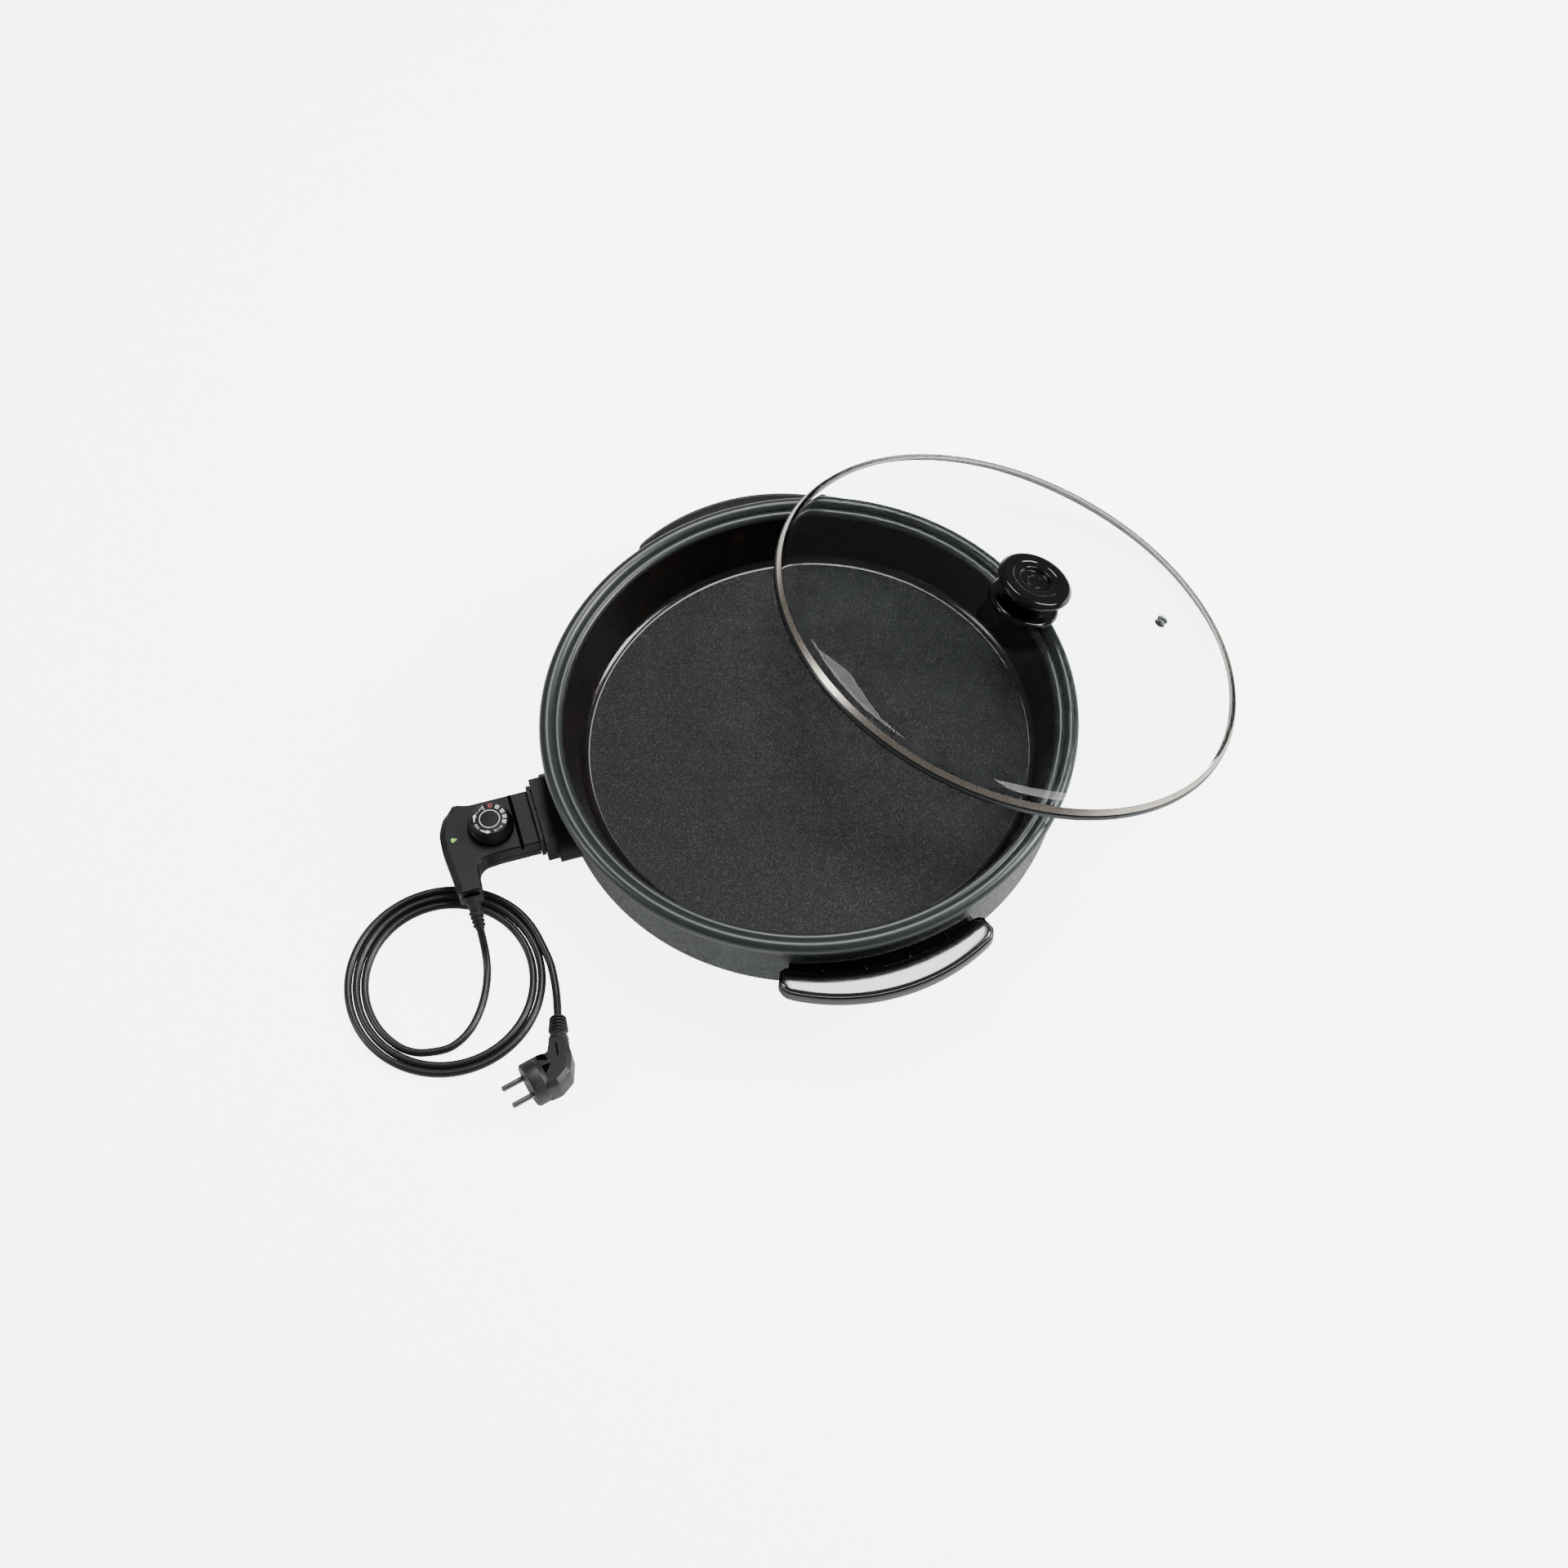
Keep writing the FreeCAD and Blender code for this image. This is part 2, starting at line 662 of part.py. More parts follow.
def make_case():
    """Upper and lower halves of the controller's case, each a shell, and the nose plate."""
    upper = body("controller_upper_case")
    rise = "dims.case_high - dims.case_split"
    block = pad(upper, case_outline("0"), "dims.case_split + 0.05", f"{rise} - 0.05")
    block = soften(upper, block, dim("case_high"), "Chamfer", "dims.case_chamfer")
    doc.recompute()
    pocket(upper, case_outline("dims.case_wall", OPEN_FRONT), "dims.case_split", f"{rise} - dims.case_wall")
    hole = sketch(upper, "XY_Plane", "dims.case_split")
    circle = hole.addGeometry(Part.Circle(FreeCAD.Vector(dim("dial_x"), 0, 0), FreeCAD.Vector(0, 0, 1),
                                         dim("shaft_hole")))
    hole.addConstraint(Sketcher.Constraint("PointOnObject", circle, 3, -1))
    centre = hole.addConstraint(Sketcher.Constraint("DistanceX", circle, 3, dim("dial_x")))
    hole.setExpression(f"Constraints[{centre}]", "dims.dial_x")
    width = hole.addConstraint(Sketcher.Constraint("Radius", circle, dim("shaft_hole")))
    hole.setExpression(f"Constraints[{width}]", "dims.shaft_hole")
    shaft_hole = upper.newObject("PartDesign::Pocket", "shaft_hole")
    shaft_hole.Profile = hole
    shaft_hole.Reversed = True
    bind(shaft_hole, Length="20")
    lamp_hole = pocket(upper, lamp_outline("0.1"), "dims.case_split", "20")
    upper.Tip = lamp_hole
    lower = body("controller_lower_case")
    block = pad(lower, case_outline("0"), "dims.case_low", "dims.case_split - dims.case_low")
    block = soften(lower, block, dim("case_low"), "Chamfer", "dims.case_chamfer")
    doc.recompute()
    pocket(lower, case_outline("dims.case_wall", OPEN_FRONT), "dims.case_low + dims.case_wall", "40")


def lamp_outline(grow):
    """Small triangular window beside the dial, pointing at it."""
    return [(f"-305.5 - {grow}", f"-1 + {grow} * 2"), (f"-305.5 - {grow}", f"-6.5 - {grow} * 2"),
            (f"-299.5 + {grow} * 2", "-3.2")]


def make_controls():
    lens = body("lamp_lens")
    pad(lens, lamp_outline("0"), "dims.case_high - dims.case_wall + 0.1", "dims.case_wall + 0.2")
    lamp = cylinder("2.2", "7", "-303.4", "-3.5", "40.6")
    node(lamp, "indicator_lamp")
    knob = cut(
        fuse(cone("dims.dial_radius", "dims.dial_radius - 1.2", "dims.dial_skirt", "dims.dial_x", "0",
                  "dims.dial_low"),
             cone("dims.dial_radius - 1.6", "dims.dial_top_radius",
                  "dims.dial_high - dims.dial_low - dims.dial_skirt", "dims.dial_x", "0",
                  "dims.dial_low + dims.dial_skirt")),
        cylinder("dims.shaft_radius + 0.1", "8", "dims.dial_x", "0", "dims.dial_low - 0.5"))
    node(knob, "dial")
    shaft = cylinder("dims.shaft_radius", "16.5", "dims.dial_x", "0", "41")
    node(shaft, "dial_shaft")
    thermostat = cut(box("26", "30", "8.3", "dims.dial_x - 13", "-15", "31.2"),
                     cylinder("dims.probe_radius + 0.4", "60", "dims.dial_x", "0", "dims.probe_height", ALONG_X))
    bush = cut(cylinder("4.6", "5", "dims.dial_x", "0", "39.6"),
               cylinder("dims.shaft_radius + 0.05", "9", "dims.dial_x", "0", "41"))
    node(thermostat, "thermostat_body")
    node(bush, "shaft_bush")
    probe = cylinder("dims.probe_radius", "dims.dial_x * -1 - 166", "dims.dial_x + 2", "0",
                     "dims.probe_height", ALONG_X)
    node(probe, "probe_rod")
    face = "(dims.case_front + 0.05)"
    flange = box("dims.nose_flange", "dims.nose_width", "dims.nose_height", face, "-dims.nose_width / 2",
                 "dims.case_low + 0.5")
    plug = box("dims.nose_flange + dims.nose_reach", "2 * dims.nose_half", "dims.nose_plug_height", face,
               "-dims.nose_half", "dims.nose_plug_low")
    nose = cut(fuse(flange, plug),
               *[cylinder("dims.contact_radius + 0.1", "30", "-242", f"{side} * dims.pin_spread",
                          "dims.element_height", ALONG_X) for side in (1, -1)],
               cylinder("dims.probe_radius + 0.15", "40", "-250", "0", "dims.probe_height", ALONG_X))
    node(nose, "controller_nose")
    contacts = [cut(cylinder("dims.contact_radius", "dims.contact_length", "dims.contact_start",
                             f"{side} * dims.pin_spread", "dims.element_height", ALONG_X),
                    cylinder("dims.pin_radius + 0.06", "30", "dims.contact_start + 3.5",
                             f"{side} * dims.pin_spread", "dims.element_height", ALONG_X))
                for side in (1, -1)]
    node(group(*contacts), "contact_sleeves")
    screws = [cylinder("2", "14", x, y, "31.1") for x, y in (("-243", "20"), ("-243", "-20"),
                                                           ("-300", "16"), ("-305.5", "-40"))]
    node(group(*screws), "case_screws")
    clamp = cut(box("13", "9", "9", "-306.8", "-51.7", "33.5"),
                cylinder("dims.cord_radius + 0.1", "30", "-300.3", "-30", "38",
                         FreeCAD.Rotation(FreeCAD.Vector(1, 0, 0), 90)))
    node(clamp, "cord_clamp")


# ---- cord and plug ---------------------------------------------------------------------------

# the lead leaves the relief, comes down inside the ring of turns and joins them from within
LEAD = [
    (-300.3, -74.1, 21.2),
    (-300.4, -83.4, 12.6),
    (-301.3, -94.5, 6.5),
    (-303.7, -106.8, 3.4),
    (-309.0, -122.5, 3.4),
    (-317.1, -138.2, 3.4),
    (-327.5, -151.5, 3.4),
    (-340.3, -160.4, 3.4),
    (-353.2, -163.6, 3.4),
]
# the tail leaves the right side of the outermost turn and rises to the plug
TAIL = [
    (-252.2, -107.5, 3.4),
    (-252.4, -121.5, 3.4),
    (-253.6, -136.0, 3.8),
    (-255.8, -150.5, 5.6),
    (-258.6, -165.0, 8.6),
]


def relief_heading():
    drop = math.radians(dim("relief_drop"))
    return FreeCAD.Vector(0, -math.cos(drop), -math.sin(drop))


def make_relief():
    """Ribbed, tapered sleeve that carries the cord out of the case and down."""
    heading = relief_heading()
    turned = FreeCAD.Rotation(FreeCAD.Vector(0, 0, 1), heading)
    length = dim("relief_length")
    core = Part.makeCone(dim("relief_wide"), dim("relief_narrow"), length)
    for index in range(5):
        along = 7 + index * 4.2
        core = core.fuse(Part.makeCylinder(dim("relief_rib") - index * 0.45, 2.2, FreeCAD.Vector(0, 0, along)))
    neck = Part.makeCylinder(dim("relief_root"), 9, FreeCAD.Vector(0, 0, -4))
    shape = core.fuse(neck).removeSplitter()
    wall = dim("case_end") - 0.05
    start = FreeCAD.Vector(dim("cord_exit_x"), wall - 1, dim("cord_exit_z"))
    shape.Placement = FreeCAD.Placement(start, turned)
    # the sleeve stops at the outside of the case
    inside = Part.makeBox(60, 60, 60, FreeCAD.Vector(-330, wall, 10))
    shape = shape.cut(inside)
    relief = doc.addObject("Part::Feature", "strain_relief")
    relief.Shape = shape
    node(relief, "strain_relief")
    tip = start + heading * length
    print("strain relief tip", [round(value, 2) for value in tip])


def make_tube(label, route):
    """The cord along a stretch that isn't coiled."""
    path, radii = rounded_path([FreeCAD.Vector(*point) for point in route])
    tube = doc.addObject("Part::Feature", label)
    tube.Shape = tube_along(path, dim("cord_radius"))
    node(tube, label)
    expected = math.pi * dim("cord_radius") ** 2 * path.Length
    print(label, "length", round(path.Length, 1), "radii", [round(radius) for radius in radii],
          "volume ratio", round(tube.Shape.Volume / expected, 4))


def tube_space(route):
    """Room for the cord with a little air round it."""
    space = doc.addObject("Part::Feature", "tube_space")
    space.Shape = tube_along(rounded_path([FreeCAD.Vector(*point) for point in route])[0],
                             dim("cord_radius") + 0.04)
    return space


def make_coil():
    """Closed ring in the outer shape of the loose turns, which lie flat side by side."""
    ring = cut(
        cylinder("dims.coil_outer", "2 * dims.cord_radius", "dims.coil_x", "dims.coil_y", "0.1"),
        cylinder("dims.coil_inner", "20", "dims.coil_x", "dims.coil_y", "-1"),
        tube_space(LEAD),
        tube_space(TAIL))
    node(ring, "cord_coil")


def plug_frame():
    heading = FreeCAD.Rotation(FreeCAD.Vector(0, 0, 1), dim("plug_heading"))
    roll = FreeCAD.Rotation(FreeCAD.Vector(1, 0, 0), -dim("plug_roll"))
    base = FreeCAD.Vector(dim("plug_x"), dim("plug_y"), dim("plug_z"))
    return FreeCAD.Placement(base, heading.multiply(roll))


def make_plug():
    """Angled mains plug lying on the table: face disc, elbow body, pins, earth clips and relief."""
    frame = plug_frame()
    elbow = body("plug_elbow", kept=False)
    half = "dims.plug_half"
    pad(elbow, [
        ("6", "-18"), ("20", "-19"), ("36", "-9"), ("43.5", "9"), ("46", "21"),
        ("33", "26.5"), ("25", "14.5"), ("6", "17.5")], f"-{half}", f"2 * {half}")
    shell = cut(fuse(cylinder("dims.plug_radius", "dims.plug_face_depth", rotation=ALONG_X), elbow),
                *[cylinder("dims.plug_root_radius + 0.02", "dims.plug_root_depth + 1.05", "-1",
                           f"{side} * dims.plug_pin_spread", "0", ALONG_X) for side in (1, -1)],
                *[box("14", "5", "3", "-1", "-2.5", level) for level in ("15.7", "-18.7")])
    shell.Placement = frame
    node(shell, "plug_body")
    # each pin steps down just clear of the face, to a root held in the moulding
    pins = group(*[
        fuse(cylinder("dims.plug_pin_radius", "dims.plug_pin_end - dims.plug_pin_start", "-dims.plug_pin_end",
                      f"{side} * dims.plug_pin_spread", "0", ALONG_X),
             cylinder("dims.plug_root_radius", "dims.plug_root_depth + dims.plug_pin_start", "-dims.plug_pin_start",
                      f"{side} * dims.plug_pin_spread", "0", ALONG_X))
        for side in (1, -1)])
    pins.Placement = frame
    node(pins, "plug_pins")
    clips = group(*[box("12", "4", "1.2", "0.3", "-2", level) for level in ("15.9", "-17.1")])
    clips.Placement = frame
    node(clips, "plug_earth_clips")


def make_plug_relief():
    frame = plug_frame()
    start = frame.multVec(FreeCAD.Vector(39.6, 23.9, 0))
    tip = FreeCAD.Vector(*TAIL[-1])
    heading = tip - start
    length = heading.Length
    turned = FreeCAD.Rotation(FreeCAD.Vector(0, 0, 1), heading)
    core = Part.makeCone(dim("plug_sleeve_wide"), dim("plug_sleeve_narrow"), length)
    for index in range(4):
        along = FreeCAD.Vector(0, 0, length - 16 + index * 4)
        core = core.fuse(Part.makeCylinder(dim("plug_sleeve_rib") - index * 0.45, 2.4, along))
    core.Placement = FreeCAD.Placement(start, turned)
    elbow = doc.getObjectsByLabel("plug_body")[0].Shape
    relief = doc.addObject("Part::Feature", "plug_relief")
    relief.Shape = core.cut(elbow)
    node(relief, "plug_relief")


# ---- lid -------------------------------------------------------------------------------------

def lid_frame():
    """Placement of the lid's own frame, whose origin is in the plane of its widest circle."""
    lean = math.radians(dim("lid_heading"))
    hinge = FreeCAD.Vector(-math.sin(lean), math.cos(lean), 0)
    base = FreeCAD.Vector(dim("lid_x"), dim("lid_y"), dim("lid_z"))
    return FreeCAD.Placement(base, FreeCAD.Rotation(hinge, dim("lid_tilt")))


def crown_radius():
    """Radius of the shallow crown, as an expression."""
    drop = "(dims.lid_rise - dims.lid_bend_rise)"
    return f"((pow(dims.lid_bend_radius; 2) + pow({drop}; 2)) / (2 * {drop}))"


def make_lid():
    """Domed glass in a steel band, a vent grommet, and a two-tier knob held by a screw."""
    frame = lid_frame()
    glass = body("glass_dome", kept=False)
    bend = "28"
    crown = crown_radius()
    thick = "dims.glass_thick"
    revolve(glass, [
        ("dims.lid_radius - 1.4", "0.3"),
        ("dims.lid_radius - 1.4", f"0.3 + {thick} * 0.6"),
        ("dims.lid_bend_radius + 1", f"dims.lid_bend_rise + {thick}", f"{bend} + {thick}", 1),
        ("0", f"dims.lid_rise + {thick}", f"{crown} + {thick}", 1),
        ("0", "dims.lid_rise"),
        ("dims.lid_bend_radius", "dims.lid_bend_rise", crown, -1),
        ("dims.lid_radius - 4.2", "0.3", bend, -1),
    ])
    pane = cut(glass,
               cylinder("dims.knob_hole", "60"),
               cylinder("dims.vent_hole", "60", "dims.vent_radius * cos(dims.vent_angle * 1 deg)",
                        "dims.vent_radius * sin(dims.vent_angle * 1 deg)"))
    pane.Placement = frame
    node(pane, "lid_glass")
    angle = math.radians(dim("vent_angle"))
    vent_at = FreeCAD.Vector(dim("vent_radius") * math.cos(angle), dim("vent_radius") * math.sin(angle), 0)
    band = body("lid_band")
    revolve(band, [
        ("dims.lid_radius - 0.6", "-2.3"),
        ("dims.lid_radius", "-1", "1.4", 1),
        ("dims.lid_radius", "2.2"),
        ("dims.lid_radius - 1.2", "3.5", "1.4", 1),
        ("dims.lid_radius - 1.32", "3.5"),
        ("dims.lid_radius - 1.32", "-0.1"),
        ("dims.lid_radius - 4.2", "-0.1"),
        ("dims.lid_radius - 4.2", "-1.3"),
        ("dims.lid_radius - 3", "-2.3", "1.2", 1),
    ])
    band.Placement = frame
    top = "(dims.lid_rise + dims.glass_thick)"
    base = body("knob_base")
    revolve(base, [
        ("dims.knob_hole", f"{top} + 0.9"),
        ("dims.knob_base_radius - 1", f"{top} + 0.9"),
        ("dims.knob_base_radius", f"{top} + 2.6"),
        ("dims.knob_base_radius - 2.2", f"{top} + 5"),
        ("dims.knob_neck", f"{top} + 12", "20", -1),
        ("dims.knob_neck", f"{top} + 17.4"),
        ("dims.knob_hole", f"{top} + 17.4"),
    ])
    base.Placement = frame
    cap = body("knob_cap")
    revolve(cap, [
        ("0", f"{top} + 21.5"),
        ("dims.knob_hole", f"{top} + 21.5"),
        ("dims.knob_hole", f"{top} + 17.5"),
        ("dims.knob_neck + 1", f"{top} + 17.5"),
        ("dims.knob_cap_radius - 2.5", f"{top} + 22.6"),
        ("dims.knob_cap_radius", f"{top} + 25"),
        ("dims.knob_cap_radius - 2", f"{top} + 27.8", "4", 1),
        ("22", f"{top} + 29.6"),
        ("13", f"{top} + 29"),
        ("11.5", f"{top} + 26"),
        ("0", f"{top} + 26"),
    ])
    cap.Placement = frame
    gasket = cut(cylinder("16", "0.8"), cylinder("dims.knob_hole", "9", z="-1"))
    gasket.Placement = frame.multiply(FreeCAD.Placement(
        FreeCAD.Vector(0, 0, dim("lid_rise") + dim("glass_thick") + 0.05), FreeCAD.Rotation()))
    node(gasket, "knob_gasket")
    washer = cut(cylinder("9", "1.2"), cylinder("3.1", "9", z="-1"))
    washer.Placement = frame.multiply(FreeCAD.Placement(
        FreeCAD.Vector(0, 0, dim("lid_rise") - 1.3), FreeCAD.Rotation()))
    node(washer, "knob_washer")
    screw = fuse(cylinder("6", "2.4", z="-3.75"), cylinder("3", "24", z="-1.5"))
    screw.Placement = frame.multiply(FreeCAD.Placement(
        FreeCAD.Vector(0, 0, dim("lid_rise")), FreeCAD.Rotation()))
    node(screw, "knob_screw")
    crown_value = glass.evalExpression(crown_radius())
    rise = dim("lid_rise") - float(crown_value) + math.sqrt(float(crown_value) ** 2 - dim("vent_radius") ** 2)
    tilt = math.degrees(math.asin(dim("vent_radius") / float(crown_value)))
    out = FreeCAD.Rotation(FreeCAD.Vector(-vent_at.y, vent_at.x, 0), tilt)
    grommet = cut(fuse(cylinder("dims.vent_neck", "dims.glass_thick + 2.2", z="-1.1"),
                       cylinder("dims.vent_flange", "1", z="dims.glass_thick + 0.2"),
                       cylinder("dims.vent_flange", "1", z="-1.2")),
                  cylinder("dims.vent_bore", "30", z="-10"))
    grommet.Placement = frame.multiply(FreeCAD.Placement(FreeCAD.Vector(vent_at.x, vent_at.y, rise), out))
    node(grommet, "vent_grommet")


# ---- checks and files -----------------------------------------------------------------------

def finish():
    doc.recompute()
    for obj in doc.Objects:
        if {"Invalid", "Error"} & set(obj.State):
            raise RuntimeError(f"{obj.Label} failed: {obj.State}")
    os.makedirs("parts", exist_ok=True)
    for obj in nodes:
        if obj.Shape.isNull() or not obj.Shape.isValid():
            raise RuntimeError(f"{obj.Label} has no valid shape")
        obj.Shape.exportStep(f"parts/{obj.Label}.step")
        print(f"{obj.Label}: {len(obj.Shape.Solids)} solids, {obj.Shape.Volume / 1000:.2f} cm3")


make_pan()
make_outer_shell()
make_base()
make_heating()
make_socket()
make_handles()
make_case()
make_controls()
make_relief()
make_tube("cord_lead", LEAD)
make_coil()
make_tube("cord_tail", TAIL)
make_plug()
doc.recompute()
make_plug_relief()
make_lid()
finish()
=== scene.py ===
import math

import bmesh
import bpy
from mathutils import Matrix, Vector


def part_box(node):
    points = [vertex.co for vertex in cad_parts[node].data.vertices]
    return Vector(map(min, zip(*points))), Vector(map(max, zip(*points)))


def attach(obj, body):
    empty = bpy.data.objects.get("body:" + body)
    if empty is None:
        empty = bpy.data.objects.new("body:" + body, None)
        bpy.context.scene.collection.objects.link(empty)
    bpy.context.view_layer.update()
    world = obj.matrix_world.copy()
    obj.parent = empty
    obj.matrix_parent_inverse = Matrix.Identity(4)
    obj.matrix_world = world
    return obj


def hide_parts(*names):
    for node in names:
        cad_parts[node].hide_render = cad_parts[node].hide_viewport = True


# Looks of the electric griddle: its camera, cord, materials and the detailed pieces that stand for
# the plain CAD solids. Everything is in metres in the CAD's frame: +Z up, the origin on the pan's
# axis at the table. Shapes are written in millimetres and scaled by MM where they become meshes.

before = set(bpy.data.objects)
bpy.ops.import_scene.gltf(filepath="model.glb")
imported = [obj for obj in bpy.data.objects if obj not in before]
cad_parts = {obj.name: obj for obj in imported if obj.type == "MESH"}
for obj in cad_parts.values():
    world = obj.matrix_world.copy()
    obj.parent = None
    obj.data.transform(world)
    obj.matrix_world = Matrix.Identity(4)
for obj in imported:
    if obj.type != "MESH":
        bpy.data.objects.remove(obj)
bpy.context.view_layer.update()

MM = 0.001
TURN = 2 * math.pi

# driving sizes, in millimetres, read from the frame where a node's box gives them
RIM_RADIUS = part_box("pan")[1].x / MM
DIAL_X = (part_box("dial")[0].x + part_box("dial")[1].x) / 2 / MM
CASE_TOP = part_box("controller_upper_case")[1].z / MM
CASE_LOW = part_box("controller_lower_case")[0].z / MM
CASE_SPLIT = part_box("controller_lower_case")[1].z / MM
CASE_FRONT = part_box("controller_upper_case")[1].x / MM
CASE_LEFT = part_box("controller_upper_case")[0].x / MM
CASE_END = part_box("controller_upper_case")[0].y / MM
CASE_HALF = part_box("controller_upper_case")[1].y / MM
CORD_RADIUS = (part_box("cord_coil")[1].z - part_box("cord_coil")[0].z) / 2 / MM

PAN_FLOOR = 52.6
SPECKLE_RADIUS = 181.5  # where the speckled floor ends and the smooth wall begins
ARM_GROOVE_X = -250.5
PIN_SPACING = 19
PIN_LENGTH = 19
PIN_RADIUS = 2.4

# the lid's own frame: its origin is in the plane of the widest circle, its Z is the dome's axis
LID_HEADING = math.radians(14.4)
LID_TILT = math.radians(23.1)
LID_FRAME = (Matrix.Translation(Vector((186.7, 41.2, 83.8)) * MM)
             @ Matrix.Rotation(LID_TILT, 4, Vector((-math.sin(LID_HEADING), math.cos(LID_HEADING), 0))))
LID_RADIUS = 207
LID_RISE = 27.8
LID_BEND_RADIUS = 185
LID_BEND_RISE = 12
LID_DROP = LID_RISE - LID_BEND_RISE
LID_CROWN = (LID_BEND_RADIUS ** 2 + LID_DROP ** 2) / (2 * LID_DROP)  # the dome's sphere
GLASS_THICK = 4
VENT_RADIUS = 137
VENT_ANGLE = math.radians(-3.9)

# the plug's frame: X runs back from its face, Y towards the cord, Z is the thickness
PLUG_FRAME = (Matrix.Translation(Vector((-295, -220.5, 18.7)) * MM)
              @ Matrix.Rotation(math.radians(15.2), 4, "Z") @ Matrix.Rotation(math.radians(-12), 4, "X"))

# the controller's cord relief: where it leaves the case, how steeply it dips and how long it is
RELIEF_START = Vector((-300.3, CASE_END - 1, 39))
RELIEF_DROP = math.radians(43)
RELIEF_LENGTH = 26

# strength of the backdrop and the world where they are seen, and where they light the object
SEEN_STRENGTH = 5.6
WORLD_LIGHT = 0.17
FLOOR_LIGHT = 0.15


# ---- camera, floor and light ------------------------------------------------------------------

def make_camera():
    """The photograph's viewpoint: nearly 59 degrees above the table, from the front and a little left."""
    azimuth, elevation, roll = (math.radians(angle) for angle in (-14.4, 58.83, -2.01))
    back = Vector((math.sin(azimuth) * math.cos(elevation), -math.cos(azimuth) * math.cos(elevation),
                   math.sin(elevation)))
    level = Vector((math.cos(azimuth), math.sin(azimuth), 0))
    upright = back.cross(level)
    right = math.cos(roll) * level + math.sin(roll) * upright
    up = math.cos(roll) * upright - math.sin(roll) * level
    camera = bpy.data.objects.new("camera", bpy.data.cameras.new("camera"))
    bpy.context.scene.collection.objects.link(camera)
    camera.data.lens = 62.8
    camera.data.sensor_width = 36
    camera.data.clip_end = 20
    pose = Matrix((right, up, back)).transposed().to_4x4()
    pose.translation = Vector((-0.3203, -1.1602, 1.9794))
    camera.matrix_world = pose
    bpy.context.scene.camera = camera


def make_light(name, place, target, size, power):
    """A soft rectangular light, size in metres, aimed at a target."""
    data = bpy.data.lights.new(name, "AREA")
    data.shape = "RECTANGLE"
    data.size, data.size_y = size
    data.energy = power
    light = bpy.data.objects.new(name, data)
    bpy.context.scene.collection.objects.link(light)
    light.location = place
    light.rotation_euler = (Vector(target) - Vector(place)).to_track_quat("-Z", "Y").to_euler()


def backdrop_strength(tree, lighting):
    """SEEN_STRENGTH where it's seen directly or through glass, another strength for the light it gives."""
    path = tree.nodes.new("ShaderNodeLightPath")
    bounces = tree.nodes.new("ShaderNodeMath")
    bounces.operation = "ADD"
    tree.links.new(path.outputs["Diffuse Depth"], bounces.inputs[0])
    tree.links.new(path.outputs["Glossy Depth"], bounces.inputs[1])
    strength = tree.nodes.new("ShaderNodeMapRange")
    strength.inputs["To Min"].default_value = SEEN_STRENGTH
    strength.inputs["To Max"].default_value = lighting
    tree.links.new(bounces.outputs["Value"], strength.inputs["Value"])
    return strength.outputs["Result"]


def make_studio():
    """A plain pale floor and world, and three soft lights."""
    world = bpy.data.worlds.new("studio")
    world.use_nodes = True
    tree = world.node_tree
    sky = tree.nodes["Background"]
    sky.inputs["Color"].default_value = (1, 1, 1, 1)
    tree.links.new(backdrop_strength(tree, WORLD_LIGHT), sky.inputs["Strength"])
    bpy.context.scene.world = world
    make_light("overhead", (0.28, 0.66, 1.90), (0.05, -0.24, 0.07), (0.7, 1.05), 30)
    make_light("right", (1.75, -0.35, 1.45), (0, 0, 0.05), (0.8, 1.3), 75)
    make_light("left", (-2.0, 0.3, 1.3), (-0.1, 0, 0.05), (0.5, 1.2), 16)
    mesh = bpy.data.meshes.new("floor")
    half = 9
    corners = [(-half, -half, 0), (half, -half, 0), (half, half, 0), (-half, half, 0)]
    mesh.from_pydata(corners, [], [(0, 1, 2, 3)])
    floor = bpy.data.objects.new("floor", mesh)
    bpy.context.scene.collection.objects.link(floor)
    backdrop = Surface("floor", (0.93, 0.93, 0.93), 0.7)
    backdrop.shader.inputs["Emission Color"].default_value = (1, 1, 1, 1)
    strength = backdrop_strength(backdrop.tree, FLOOR_LIGHT)
    backdrop.link(strength, backdrop.shader.inputs["Emission Strength"])
    floor.data.materials.append(backdrop.material)


# ---- materials --------------------------------------------------------------------------------

